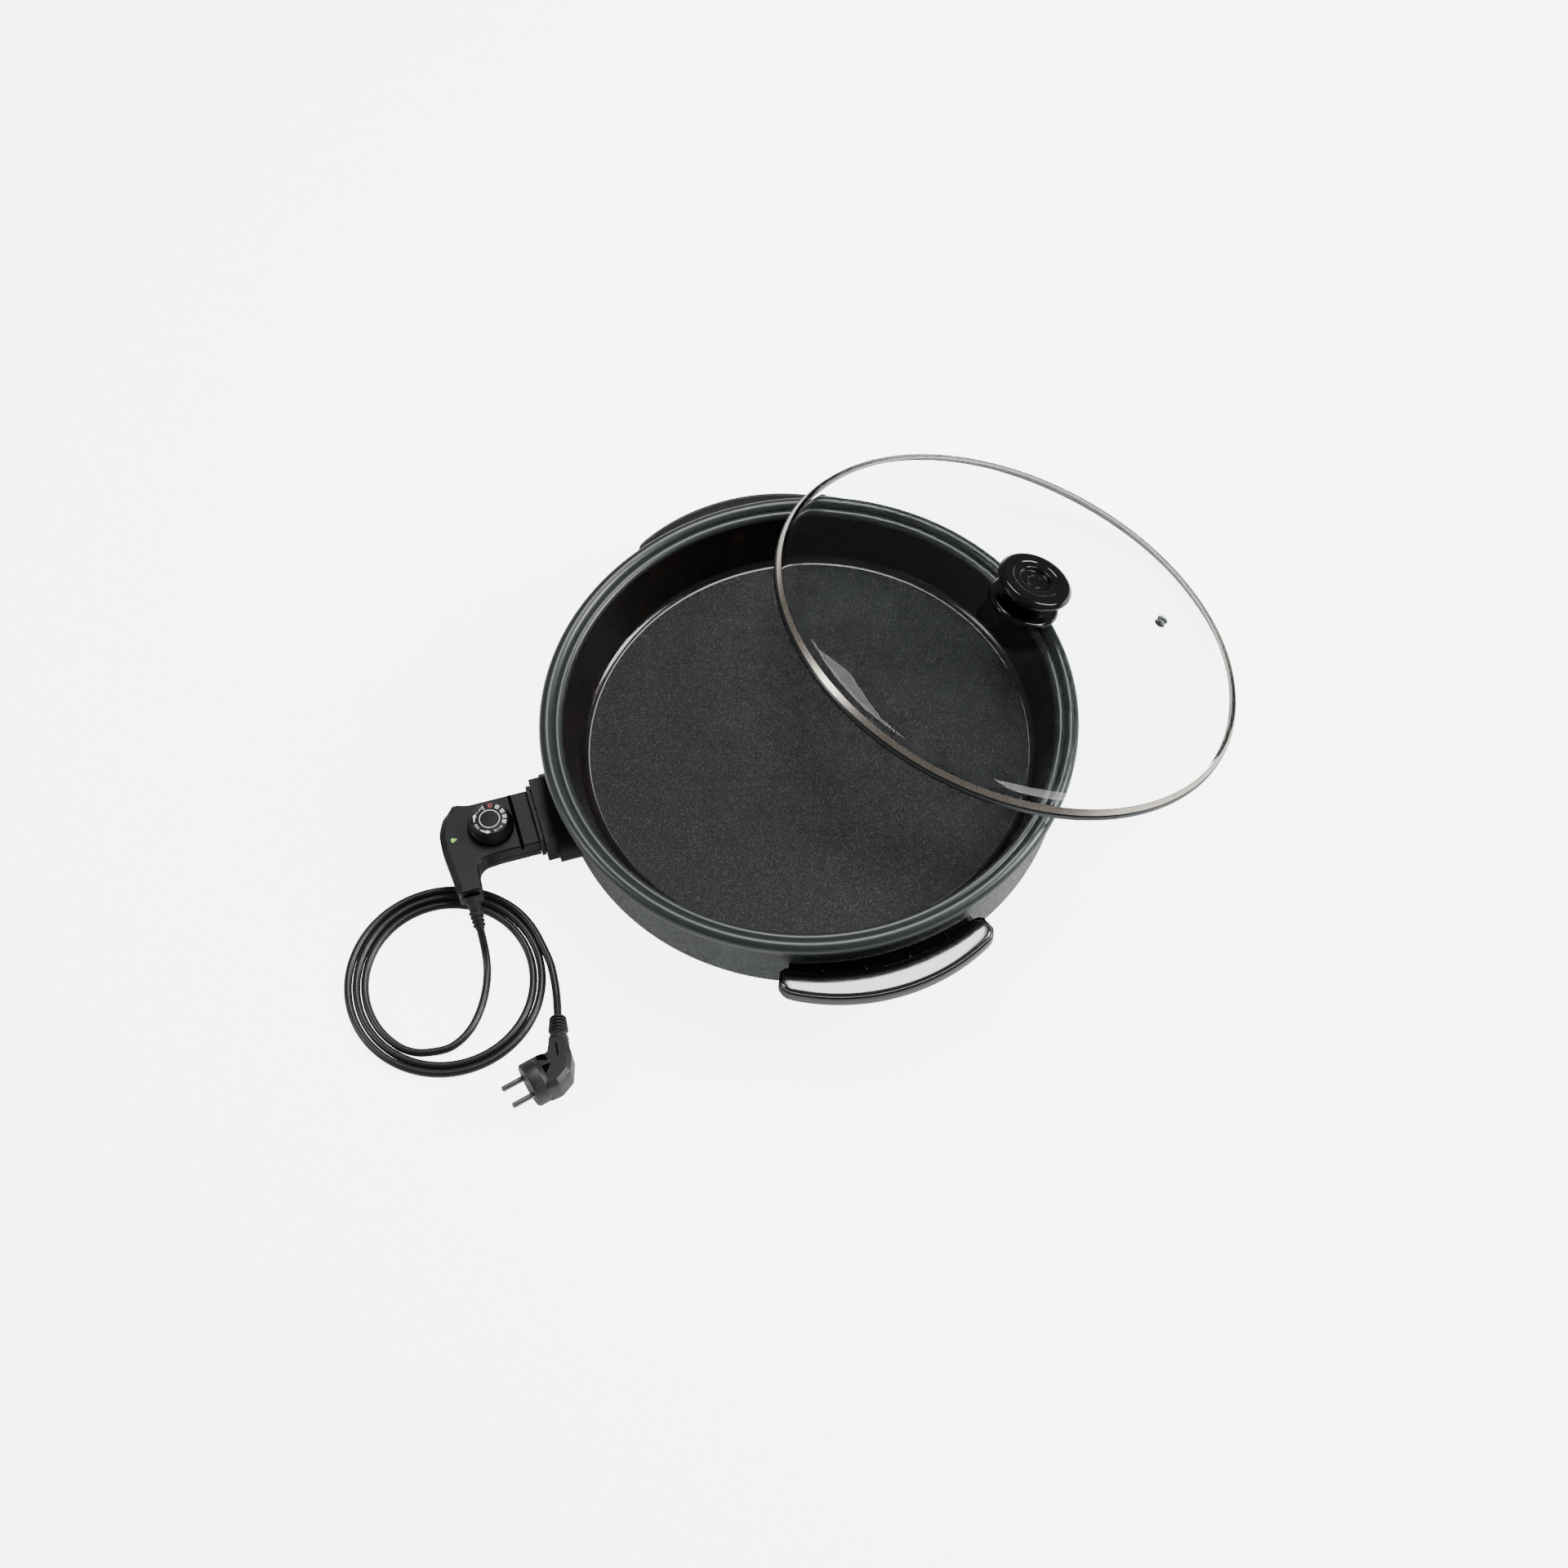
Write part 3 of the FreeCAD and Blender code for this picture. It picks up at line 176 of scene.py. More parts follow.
class Surface:
    """A Principled material. Its methods add procedural detail in the object's own metres."""

    def __init__(self, name, colour, roughness, **sockets):
        self.material = bpy.data.materials.new(name)
        self.material.use_nodes = True
        self.tree = self.material.node_tree
        self.shader = self.tree.nodes["Principled BSDF"]
        self.shader.inputs["Base Color"].default_value = (*colour, 1)
        self.shader.inputs["Roughness"].default_value = roughness
        for socket, value in sockets.items():
            self.shader.inputs[socket.replace("_", " ")].default_value = value
        self.place = self.tree.nodes.new("ShaderNodeTexCoord").outputs["Object"]

    def link(self, output, target):
        """Join a node's output to a socket."""
        self.tree.links.new(output, target)

    def noise(self, size, detail=3, roughness=0.55, stretch=(1, 1, 1)):
        """Soft noise whose features are about size metres across."""
        mapping = self.tree.nodes.new("ShaderNodeMapping")
        mapping.inputs["Scale"].default_value = stretch
        self.link(self.place, mapping.inputs["Vector"])
        node = self.tree.nodes.new("ShaderNodeTexNoise")
        node.inputs["Scale"].default_value = 1 / size
        node.inputs["Detail"].default_value = detail
        node.inputs["Roughness"].default_value = roughness
        self.link(mapping.outputs["Vector"], node.inputs["Vector"])
        return node.outputs["Fac"]

    def cells(self, size):
        """Rounded cells about size metres across, as on hammered paint."""
        node = self.tree.nodes.new("ShaderNodeTexVoronoi")
        node.feature = "SMOOTH_F1"
        node.inputs["Scale"].default_value = 1 / size
        self.link(self.place, node.inputs["Vector"])
        return node.outputs["Distance"]

    def span(self, value, start, end, low, high):
        """Map a value from start..end to low..high, clamped."""
        node = self.tree.nodes.new("ShaderNodeMapRange")
        for socket, number in (("From Min", start), ("From Max", end), ("To Min", low), ("To Max", high)):
            node.inputs[socket].default_value = number
        self.link(value, node.inputs["Value"])
        return node.outputs["Result"]

    def tint(self, value, start, end, colour):
        """Blend from what the surface's colour is so far to another as the value runs start..end."""
        node = self.tree.nodes.new("ShaderNodeMix")
        node.data_type = "RGBA"
        target = self.shader.inputs["Base Color"]
        first, second = node.inputs[6], node.inputs[7]
        if target.is_linked:
            self.link(target.links[0].from_socket, first)
        else:
            first.default_value = target.default_value
        second.default_value = (*colour, 1)
        self.link(self.span(value, start, end, 0, 1), node.inputs[0])
        self.link(node.outputs[2], target)
        return self

    def gloss(self, value, start, end, low, high):
        """Let the roughness run from low to high as the value runs start..end."""
        self.link(self.span(value, start, end, low, high), self.shader.inputs["Roughness"])
        return self

    def bump(self, height, depth):
        """Raise the surface by up to depth metres where the height is 1."""
        node = self.tree.nodes.new("ShaderNodeBump")
        node.inputs["Distance"].default_value = depth
        node.inputs["Strength"].default_value = 1
        self.link(height, node.inputs["Height"])
        self.link(node.outputs["Normal"], self.shader.inputs["Normal"])
        return self


def nonstick_floor():
    """Matt dark grey coating full of fine light speckle."""
    skin = Surface("nonstick_floor", (0.012, 0.0115, 0.0125), 0.6, Specular_IOR_Level=0.16)
    grain = skin.noise(0.0010, 2, 0.7)
    skin.tint(grain, 0.52, 0.68, (0.060, 0.058, 0.062))
    skin.gloss(skin.noise(0.03, 3), 0.3, 0.7, 0.57, 0.63)
    return skin.bump(grain, 0.00014).material


def nonstick_wall():
    """The same coating where it's smooth: near black, brownish, and glossy enough to mirror the floor."""
    skin = Surface("nonstick_wall", (0.0035, 0.0026, 0.0022), 0.16, Coat_Weight=0.3, Coat_Roughness=0.1)
    skin.tint(skin.noise(0.03, 3), 0.5, 0.8, (0.010, 0.006, 0.0045))
    skin.gloss(skin.noise(0.012, 4), 0.3, 0.7, 0.13, 0.24)
    return skin.bump(skin.noise(0.006, 3), 0.000005).material


def rim_enamel():
    """Semi-gloss dark green-black of the rolled rim."""
    skin = Surface("rim_enamel", (0.016, 0.0205, 0.0198), 0.34, Coat_Weight=0.1, Coat_Roughness=0.2)
    skin.gloss(skin.noise(0.01, 3), 0.3, 0.7, 0.31, 0.38)
    return skin.bump(skin.noise(0.0016, 2), 0.000006).material


def hammered_shell():
    """Fine hammered grey-green paint."""
    skin = Surface("hammered_shell", (0.018, 0.0215, 0.0210), 0.42, Specular_IOR_Level=0.4)
    dimples = skin.cells(0.0019)
    skin.tint(dimples, 0.25, 0.75, (0.034, 0.0405, 0.0395))
    skin.tint(skin.noise(0.0007, 2), 0.55, 0.75, (0.074, 0.083, 0.081))
    skin.gloss(skin.noise(0.004, 2), 0.35, 0.65, 0.32, 0.5)
    return skin.bump(dimples, 0.00022).material


def gloss_moulding(name="gloss_moulding", low=0.09, high=0.15, **sockets):
    """Polished black phenolic."""
    skin = Surface(name, (0.0022, 0.0026, 0.0030), low, **sockets)
    skin.gloss(skin.noise(0.008, 4), 0.3, 0.75, low, high)
    return skin.bump(skin.noise(0.012, 2), 0.00003).material


def dark_moulding(name="dark_moulding", colour=(0.0045, 0.0052, 0.0055), low=0.24, high=0.34, level=0.5):
    """Satin black moulding with a faint grain."""
    skin = Surface(name, colour, low, Specular_IOR_Level=level)
    skin.gloss(skin.noise(0.006, 3), 0.3, 0.7, low, high)
    return skin.bump(skin.noise(0.0006, 2), 0.00002).material


def case_plastic():
    """Satin dark grey of the controller, faintly blue, with a spark-eroded grain."""
    skin = Surface("case_plastic", (0.0105, 0.0110, 0.0125), 0.42, Specular_IOR_Level=0.22)
    grain = skin.noise(0.0004, 2, 0.6)
    skin.tint(skin.noise(0.02, 2), 0.4, 0.8, (0.0135, 0.014, 0.0158))
    skin.gloss(skin.noise(0.01, 3), 0.3, 0.7, 0.34, 0.44)
    return skin.bump(grain, 0.00004).material


def cord_rubber():
    """Satin black of the lead's sheath."""
    skin = Surface("cord_rubber", (0.0065, 0.0064, 0.0062), 0.34, Sheen_Weight=0.05)
    skin.tint(skin.noise(0.01, 3), 0.5, 0.8, (0.011, 0.0105, 0.010))
    skin.gloss(skin.noise(0.004, 3), 0.3, 0.7, 0.3, 0.42)
    return skin.bump(skin.noise(0.0005, 2), 0.00003).material


def plug_plastic():
    """Dull soft plastic of the moulded plug."""
    skin = Surface("plug_plastic", (0.0095, 0.0092, 0.0088), 0.40)
    skin.tint(skin.noise(0.006, 3), 0.45, 0.8, (0.015, 0.0143, 0.0136))
    skin.gloss(skin.noise(0.004, 3), 0.3, 0.7, 0.38, 0.52)
    return skin.bump(skin.noise(0.0005, 2), 0.00005).material


def matt_rubber():
    """Matt black of the controller's cord relief, the knob's gasket and the foot pads."""
    skin = Surface("matt_rubber", (0.007, 0.0067, 0.0064), 0.55)
    skin.gloss(skin.noise(0.003, 2), 0.3, 0.7, 0.55, 0.7)
    return skin.bump(skin.noise(0.0005, 2), 0.00005).material


def plated(name, colour, low, high, stretch=(1, 1, 1)):
    """Bright metal with fine drawn marks."""
    skin = Surface(name, colour, low, Metallic=1.0)
    marks = skin.noise(0.0012, 3, 0.6, stretch)
    skin.tint(skin.noise(0.01, 3), 0.5, 0.8, tuple(part * 0.82 for part in colour))
    skin.gloss(marks, 0.3, 0.7, low, high)
    return skin.bump(marks, 0.00001).material


def clear_glass():
    """Tempered glass with a faint sea-green cast and hardly visible waviness."""
    skin = Surface("clear_glass", (0.955, 0.99, 0.98), 0.0, Transmission_Weight=1.0, IOR=1.22,
                   Specular_IOR_Level=0.12)
    skin.gloss(skin.noise(0.05, 2), 0.4, 0.8, 0.0, 0.012)
    return skin.material


def painted_gap_shade():
    """Matt near-black that stands in for the shade inside a deep gap: painted shade."""
    skin = Surface("painted_groove_shade", (0.0008, 0.0008, 0.0008), 0.9, Specular_IOR_Level=0.05)
    return skin.bump(skin.noise(0.001), 0.00001).material


def case_side_shade():
    """Painted shade for the controller's sides and bevels: its plastic made a little browner and darker
    than its top.
    """
    return Surface("case_side_shade", (0.005, 0.0045, 0.004), 0.34, Specular_IOR_Level=0.3).material


def green_glass():
    """The lamp's lens, faintly lit."""
    skin = Surface("green_glass", (0.22, 0.72, 0.10), 0.2, Emission_Strength=0.35, Coat_Weight=0.6)
    skin.shader.inputs["Emission Color"].default_value = (0.25, 0.85, 0.10, 1)
    skin.tint(skin.noise(0.002, 2), 0.35, 0.7, (0.45, 0.85, 0.18))
    return skin.material


def ink(name, colour):
    """Printed ink, slightly uneven."""
    skin = Surface(name, colour, 0.45)
    skin.tint(skin.noise(0.0006, 3), 0.5, 0.8, tuple(part * 0.8 for part in colour))
    return skin.material


# ---- mesh helpers -----------------------------------------------------------------------------

def corner_arc(before, corner, after, radius, steps):
    """The arc that rounds a corner, steps to a quarter turn, or the corner itself where it's straight."""
    into = (before - corner).normalized()
    out = (after - corner).normalized()
    half = into.angle(out) / 2
    if radius <= 0 or half > math.pi / 2 - 0.01:
        return [corner]
    reach = min(radius / math.tan(half), 0.49 * (before - corner).length, 0.49 * (after - corner).length)
    radius = reach * math.tan(half)
    centre = corner + (into + out).normalized() * (radius / math.sin(half))
    start = corner + into * reach - centre
    end = corner + out * reach - centre
    sweep = start.angle(end)
    count = max(2, math.ceil(sweep / math.radians(90) * steps))
    points = []
    for step in range(count + 1):
        swept = sweep * step / count
        points.append(centre + (start * math.sin(sweep - swept) + end * math.sin(swept)) / math.sin(sweep))
    return points


def rounded(corners, closed=True, steps=6):
    """A dense outline from (x, y) or (x, y, corner radius) corners."""
    spots = [Vector((corner[0], corner[1])) for corner in corners]
    radii = [corner[2] if len(corner) > 2 else 0 for corner in corners]
    points = []
    for index, spot in enumerate(spots):
        if not closed and index in (0, len(spots) - 1):
            points.append(spot)
            continue
        after = spots[(index + 1) % len(spots)]
        points += corner_arc(spots[index - 1], spot, after, radii[index], steps)
    return points


def arc(centre, radius, start, end, count):
    """Points of an arc about a centre, angles in degrees."""
    points = []
    for step in range(count + 1):
        angle = math.radians(start + (end - start) * step / count)
        points.append(Vector((centre[0] + radius * math.cos(angle), centre[1] + radius * math.sin(angle))))
    return points


def divided(outline, longest):
    """A closed outline with its long runs cut into shorter ones."""
    points = []
    for index, point in enumerate(outline):
        after = outline[(index + 1) % len(outline)]
        count = max(1, math.ceil((after - point).length / longest))
        points += [point.lerp(after, step / count) for step in range(count)]
    return points


def inset(outline, distance):
    """A closed anticlockwise outline moved inwards. distance is one number, or one for each point."""
    count = len(outline)
    amounts = [distance] * count if isinstance(distance, (int, float)) else distance
    moved = []
    for index, point in enumerate(outline):
        into = (point - outline[index - 1]).normalized()
        out = (outline[(index + 1) % count] - point).normalized()
        normal = Vector((-into.y - out.y, into.x + out.x)).normalized()
        share = max(0.35, normal.dot(Vector((-into.y, into.x))))
        moved.append(point + normal * (amounts[index] / share))
    return moved


def finished(name, bm, material, body, node=None, placement=None, sharp=35):
    """Turn a bmesh in millimetres into a piece that rides on a body and may stand for a CAD node."""
    bmesh.ops.recalc_face_normals(bm, faces=bm.faces)
    mesh = bpy.data.meshes.new(name)
    bm.to_mesh(mesh)
    bm.free()
    mesh.transform(Matrix.Scale(MM, 4))
    if placement is not None:
        mesh.transform(placement)
    mesh.polygons.foreach_set("use_smooth", [True] * len(mesh.polygons))
    mesh.set_sharp_from_angle(angle=math.radians(sharp))
    for item in material if isinstance(material, list) else [material]:
        mesh.materials.append(item)
    piece = bpy.data.objects.new(name, mesh)
    bpy.context.scene.collection.objects.link(piece)
    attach(piece, body)
    if node:
        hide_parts(*([node] if isinstance(node, str) else node))
    return piece


def lathe(bm, profile, segments=192, closed=True, ripple=None):
    """Turn (radius, height) points about Z. ripple(angle, index) adds to the radius."""
    rings = []
    for index, point in enumerate(profile):
        if point[0] < 1e-6:
            rings.append([bm.verts.new((0, 0, point[1]))])
            continue
        ring = []
        for step in range(segments):
            angle = TURN * step / segments
            radius = point[0] + (ripple(angle, index) if ripple else 0)
            ring.append(bm.verts.new((radius * math.cos(angle), radius * math.sin(angle), point[1])))
        rings.append(ring)
    pairs = list(zip(rings, rings[1:]))
    if closed:
        pairs.append((rings[-1], rings[0]))
    faces = []
    for low, high in pairs:
        for step in range(segments):
            corners = [low[step % len(low)], low[(step + 1) % len(low)],
                       high[(step + 1) % len(high)], high[step % len(high)]]
            corners = list(dict.fromkeys(corners))
            if len(corners) > 2:
                faces.append(bm.faces.new(corners))
    return faces


def stack(bm, rings, low_cap=True, high_cap=True):
    """Join closed outlines of the same number of points, each given as 3-D points."""
    made = [[bm.verts.new(point) for point in ring] for ring in rings]
    count = len(made[0])
    for low, high in zip(made, made[1:]):
        for step in range(count):
            after = (step + 1) % count
            bm.faces.new((low[step], low[after], high[after], high[step]))
    if low_cap:
        bm.faces.new(list(reversed(made[0])))
    if high_cap:
        bm.faces.new(made[-1])
    return made


def at_height(outline, height):
    """A flat outline as a ring of 3-D points."""
    return [(point.x, point.y, height) for point in outline]


def ribbed_sleeve(name, profile, material, node, start, heading):
    """A turned sleeve on the lead, from start, in metres, along its heading."""
    bm = bmesh.new()
    lathe(bm, rounded(profile, closed=False, steps=4), 48, closed=False)
    placement = Matrix.Translation(start) @ heading.to_track_quat("Z", "X").to_matrix().to_4x4()
    return finished(name, bm, material, "controller", node, placement, sharp=45)


def painted(node, material):
    """Give a CAD node, which stays as it is, its material."""
    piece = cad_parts[node]
    piece.data.materials.clear()
    piece.data.materials.append(material)


# ---- cord -------------------------------------------------------------------------------------

# where the cord isn't coiled: down from the controller's relief into the ring of turns ...
LEAD = [
    (-300.3, -74.1, 21.2),
    (-300.4, -83.4, 12.6),
    (-301.3, -94.5, 6.5),
    (-303.7, -106.8, 3.4),
    (-309.0, -122.5, 3.4),
    (-317.1, -138.2, 3.4),
    (-327.5, -151.5, 3.4),
    (-340.3, -160.4, 3.4),
    (-353.2, -163.6, 3.4),
]
# ... and from the turns' right side up to the plug's relief
TAIL = [
    (-252.2, -107.5, 3.4),
    (-252.4, -121.5, 3.4),
    (-253.6, -136.0, 3.8),
    (-255.8, -150.5, 5.6),
    (-258.6, -165.0, 8.6),
]
COIL_CENTRE = (-336.8, -104.0)
COIL_START = 232  # heading in degrees
COIL_SWEEP = 940
COIL_STEP = 25
COIL_RADIUS = 66.8
COIL_GROWTH = 0.0192  # for each degree swept
COIL_OVAL = 1.6


def coil_points():
    """The loose turns, clockwise from inside to outside, each about a diameter outside the last."""
    points = []
    stretch = 1 / math.cos(math.radians(COIL_STEP / 2))
    for swept in range(0, COIL_SWEEP + 1, COIL_STEP):
        heading = math.radians(COIL_START - swept)
        oval = COIL_OVAL * math.cos(2 * heading - math.radians(160))
        radius = (COIL_RADIUS + COIL_GROWTH * swept + oval) * stretch
        points.append((COIL_CENTRE[0] + radius * math.cos(heading),
                       COIL_CENTRE[1] + radius * math.sin(heading), CORD_RADIUS + 0.1))
    return points


def make_cord(material):
    """The lead as one smooth curve, from the controller's relief through its turns to the plug's relief."""
    curve = bpy.data.curves.new("mains_cord", "CURVE")
    curve.dimensions = "3D"
    curve.bevel_depth = CORD_RADIUS * MM
    curve.bevel_resolution = 8
    curve.resolution_u = 10
    curve.use_fill_caps = True
    route = LEAD + coil_points() + TAIL
    spline = curve.splines.new("NURBS")
    spline.points.add(len(route) - 1)
    for point, place in zip(spline.points, route):
        point.co = (*(Vector(place) * MM), 1)
    spline.order_u = 3
    spline.use_endpoint_u = True
    curve.materials.append(material)
    cord = bpy.data.objects.new("mains_cord", curve)
    bpy.context.scene.collection.objects.link(cord)
    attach(cord, "controller")
    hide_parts("cord_lead", "cord_coil", "cord_tail")
    return cord


# ---- pan and shell ----------------------------------------------------------------------------

def make_pan(wall, floor, rim):
    """The pressed pan: speckled floor, glossy wall, rounded shoulder and rolled bead."""
    inside = rounded([(0, PAN_FLOOR), (186.6, PAN_FLOOR, 8), (201, 95)], closed=False, steps=10)
    # a faint ridge where the speckle ends
    ridge = [Vector((SPECKLE_RADIUS + out, PAN_FLOOR + rise))
             for out, rise in ((-0.9, 0), (-0.3, 0.1), (0.3, 0.1), (0.9, 0))]
    shoulder = arc((205.6, 94.6), 4.6, 175, 56, 12)
    roll = arc((RIM_RADIUS - 6, 97), 6, 166.5, -143, 40)
    bottom = PAN_FLOOR - 5
    under = rounded([(204.2, 93.4), (191.0, PAN_FLOOR + 3), (188.6, bottom, 10), (0, bottom)],
                    closed=False, steps=8)
    bm = bmesh.new()
    for face in lathe(bm, inside[:1] + ridge + inside[1:] + shoulder + roll + under, 256, closed=False):
        centre = face.calc_center_median()
        if centre.z > 92:
            face.material_index = 2
        elif centre.z > PAN_FLOOR - 0.5 and centre.xy.length < SPECKLE_RADIUS:
            face.material_index = 1
    finished("griddle_pan", bm, [wall, floor, rim], "base", "pan")


def make_shell(material):
    """The hammered skirt: a thin flared wall with softened edges and a turned-in lip."""
    profile = rounded([
        (212.8, 90.4, 0.6), (208.5, 29.1, 0), (207.5, 24.1, 5), (190, 24.1, 0.5), (190, 25.6, 0.5),
        (206.2, 25.6, 3.5), (206.9, 29.1), (211.3, 90.4, 0.6)], steps=6)
    bm = bmesh.new()
    lathe(bm, profile, 256)
    finished("hammered_skirt", bm, material, "base", "outer_shell")


# ---- handles ----------------------------------------------------------------------------------

GRIP_OUTER = (162, 88)  # an arc's radius, and how far out on -Y its centre is
GRIP_INNER = (157, 67)
GRIP_SPREAD = math.radians(22.6)  # half the angle that the grip covers
GRIP_CAP = 0.13  # share of each half that the rounded end takes
GRIP_MIDDLE = 235  # how far out the middle of the grip is
GRIP_STEPS = [  # depth inwards, height
    (1.5, 60.0), (0.4, 60.8), (0.0, 62.4), (0.0, 69.6), (0.25, 71.0), (0.8, 72.0), (1.5, 72.4), (1.9, 72.3),
    (2.1, 71.8), (2.3, 71.8), (2.6, 72.3), (2.9, 72.45), (3.2, 72.8), (3.8, 73.05), (5.0, 73.2),
    (7.0, 73.33), (9.5, 73.45), (11.6, 73.5)]
WEB_SPREAD = math.radians(20.6)
WEB_STEPS = [(0.8, 60.8), (0, 61.6), (0, 66.4), (0.8, 67.2)]
WEB_START = 212.3  # just outside the shell's sloping wall
WEB_MIDDLE = 220
RIB_HEADINGS = (-0.235, -0.08, 0.08, 0.235)


def polar(reach, heading):
    """A point at a heading from -Y, seen from above."""
    return Vector((reach * math.sin(heading), -reach * math.cos(heading)))


def arc_reach(radius, centre, heading):
    """How far an arc about a centre on -Y is from the pan's axis, at a heading from straight out."""
    return centre * math.cos(heading) + math.sqrt(radius ** 2 - (centre * math.sin(heading)) ** 2)


def grip_outline(depth, count=56):
    """The grip's curved outline drawn inwards by depth: out along its outer edge, back along the inner."""
    points = []
    for side in (1, -1):
        for step in range(count):
            share = side * ((step + 0.5) / count * 2 - 1)
            # the ends are rounded: near them both edges close in towards the middle of the grip
            past = max(0.0, (abs(share) - (1 - GRIP_CAP)) / GRIP_CAP)
            heading = share * (GRIP_SPREAD - depth / GRIP_MIDDLE)
            outer = arc_reach(*GRIP_OUTER, heading)
            inner = arc_reach(*GRIP_INNER, heading)
            width = (outer - inner) / 2 * math.sqrt(max(0.0, 1 - past ** 2.2)) - depth * (1 - 0.55 * past)
            points.append(polar((outer + inner) / 2 + side * max(width, 0.25), heading))
    return points


def web_outline(depth, count=41):
    """The web between the shell and the grip's inner edge, drawn in at its two ends by depth."""
    points = []
    for side in (1, -1):
        for step in range(count):
            heading = side * (step / (count - 1) * 2 - 1) * (WEB_SPREAD - depth / WEB_MIDDLE)
            points.append(polar(arc_reach(*GRIP_INNER, heading) + 3 if side > 0 else WEB_START, heading))
    return points


def rib(bm, heading):
    """A low gusset on the web, running out from the shell to the grip."""
    half = 0.9 / WEB_MIDDLE
    near, far = WEB_START + 0.3, arc_reach(*GRIP_INNER, heading) + 1
    base = [polar(near, heading - half), polar(far, heading - half),
            polar(far, heading + half), polar(near, heading + half)]
    stack(bm, [at_height(base, 66.9), at_height(base, 68.4), at_height(inset(base, 0.35), 68.8)])


def make_handle(name, node, turned, gloss, mirror):
    """A polished grip: a dark rim, a thin ridge all round, and a crowned cushion inside it."""
    bm = bmesh.new()
    rings = [at_height(grip_outline(depth), height) for depth, height in GRIP_STEPS]
    crown = stack(bm, rings, high_cap=False)[-1]
    for step in range(len(crown) // 2 - 1):
        bm.faces.new((crown[step], crown[step + 1], crown[-2 - step], crown[-1 - step]))
    stack(bm, [at_height(web_outline(depth), height) for depth, height in WEB_STEPS])
    for heading in RIB_HEADINGS:
        rib(bm, heading)
    for face in bm.faces:
        if face.calc_center_median().z > 72.6:
            face.material_index = 1
    finished(name, bm, [gloss, mirror], "base", node,
             Matrix.Rotation(math.radians(turned), 4, "Z"), sharp=50)


# ---- controller -------------------------------------------------------------------------------

WIDE_BEVEL = 4.6
FINE_BEVEL = 0.7


def case_outline():
    """The elbow seen from above, anticlockwise, with its soft corners."""
    half = CASE_HALF
    left = CASE_LEFT
    corners = [
        (CASE_FRONT, half, 0.4), (left + 29, half, 22), (left + 21, half + 2.6, 4),
        (left + 16.5, half + 3.2, 2.2), (left + 6.5, 20, 14), (left + 0.4, 7, 26), (left - 0.4, -8, 40),
        (left + 1.4, -27, 40), (left + 3.9, CASE_END, 2), (left + 23.7, CASE_END, 2), (left + 24.2, -47, 4),
        (left + 25, -27, 13), (left + 45, -half, 9), (CASE_FRONT, -half, 0.4)]
    return divided(rounded(corners, steps=8), 3)


def left_bevels(outline):
    """Bevel widths: wide along the elbow's outer left edge, fine everywhere else, and blended between."""
    widths = []
    for point in outline:
        reach = 10 + 0.55 * max(0, point.y)
        on_left = point.x < CASE_LEFT + min(reach, 20, 21 - 0.2 * point.y) and point.y > CASE_END + 1.5
        widths.append(WIDE_BEVEL if on_left else FINE_BEVEL)
    count = len(widths)
    return [sum(widths[(index + step) % count] for step in range(-2, 3)) / 5 for index in range(count)]


def paint_side_shade(bm):
    """Give every face that isn't nearly level the second material, the painted shade of the sides and
    bevels.
    """
    bmesh.ops.recalc_face_normals(bm, faces=bm.faces)
    for face in bm.faces:
        if face.normal.z < 0.85:
            face.material_index = 1


def make_case(plastic, side):
    """The two half shells of the elbow, with the seam between them."""
    outline = case_outline()
    bevels = left_bevels(outline)
    seam = CASE_SPLIT + 0.05
    rings = [at_height(inset(outline, 0.5), seam), at_height(outline, seam + 0.5)]
    for share in (1.0, 0.75, 0.45, 0.2, 0.0):
        edge = inset(outline, [width * (1 - share) for width in bevels])
        level = CASE_TOP - (0.35 if share == 0 else 0)
        rings.append([(point.x, point.y, level - 0.8 * width * share)
                      for point, width in zip(edge, bevels)])
    rings.append(at_height(inset(outline, [width + 0.42 for width in bevels]), CASE_TOP))
    upper = bmesh.new()
    stack(upper, rings)
    # the sides and bevels of the top shell take the darker, browner copy of its plastic: painted shade
    paint_side_shade(upper)
    finished("controller_top_shell", upper, [plastic, side], "controller", "controller_upper_case",
             sharp=28)
    lower = bmesh.new()
    stack(lower, [at_height(inset(outline, depth), height) for depth, height in (
        (1.8, CASE_LOW), (0.9, CASE_LOW + 0.4), (0.3, CASE_LOW + 1.2), (0.15, CASE_LOW + 2.2),
        (0.15, CASE_SPLIT - 0.6), (0.6, CASE_SPLIT - 0.1))])
    # the bottom shell is all in that darker copy of the plastic: painted shade
    finished("controller_bottom_shell", lower, side, "controller", "controller_lower_case",
             sharp=28)


def block(bm, low, high, radius=1.0, bevel=0.5):
    """A box with rounded upright edges and softened top and bottom edges."""
    outline = rounded([(low[0], low[1], radius), (high[0], low[1], radius),
                       (high[0], high[1], radius), (low[0], high[1], radius)], steps=5)
    stack(bm, [at_height(inset(outline, bevel), low[2]), at_height(outline, low[2] + bevel),
               at_height(outline, high[2] - bevel), at_height(inset(outline, bevel), high[2])])


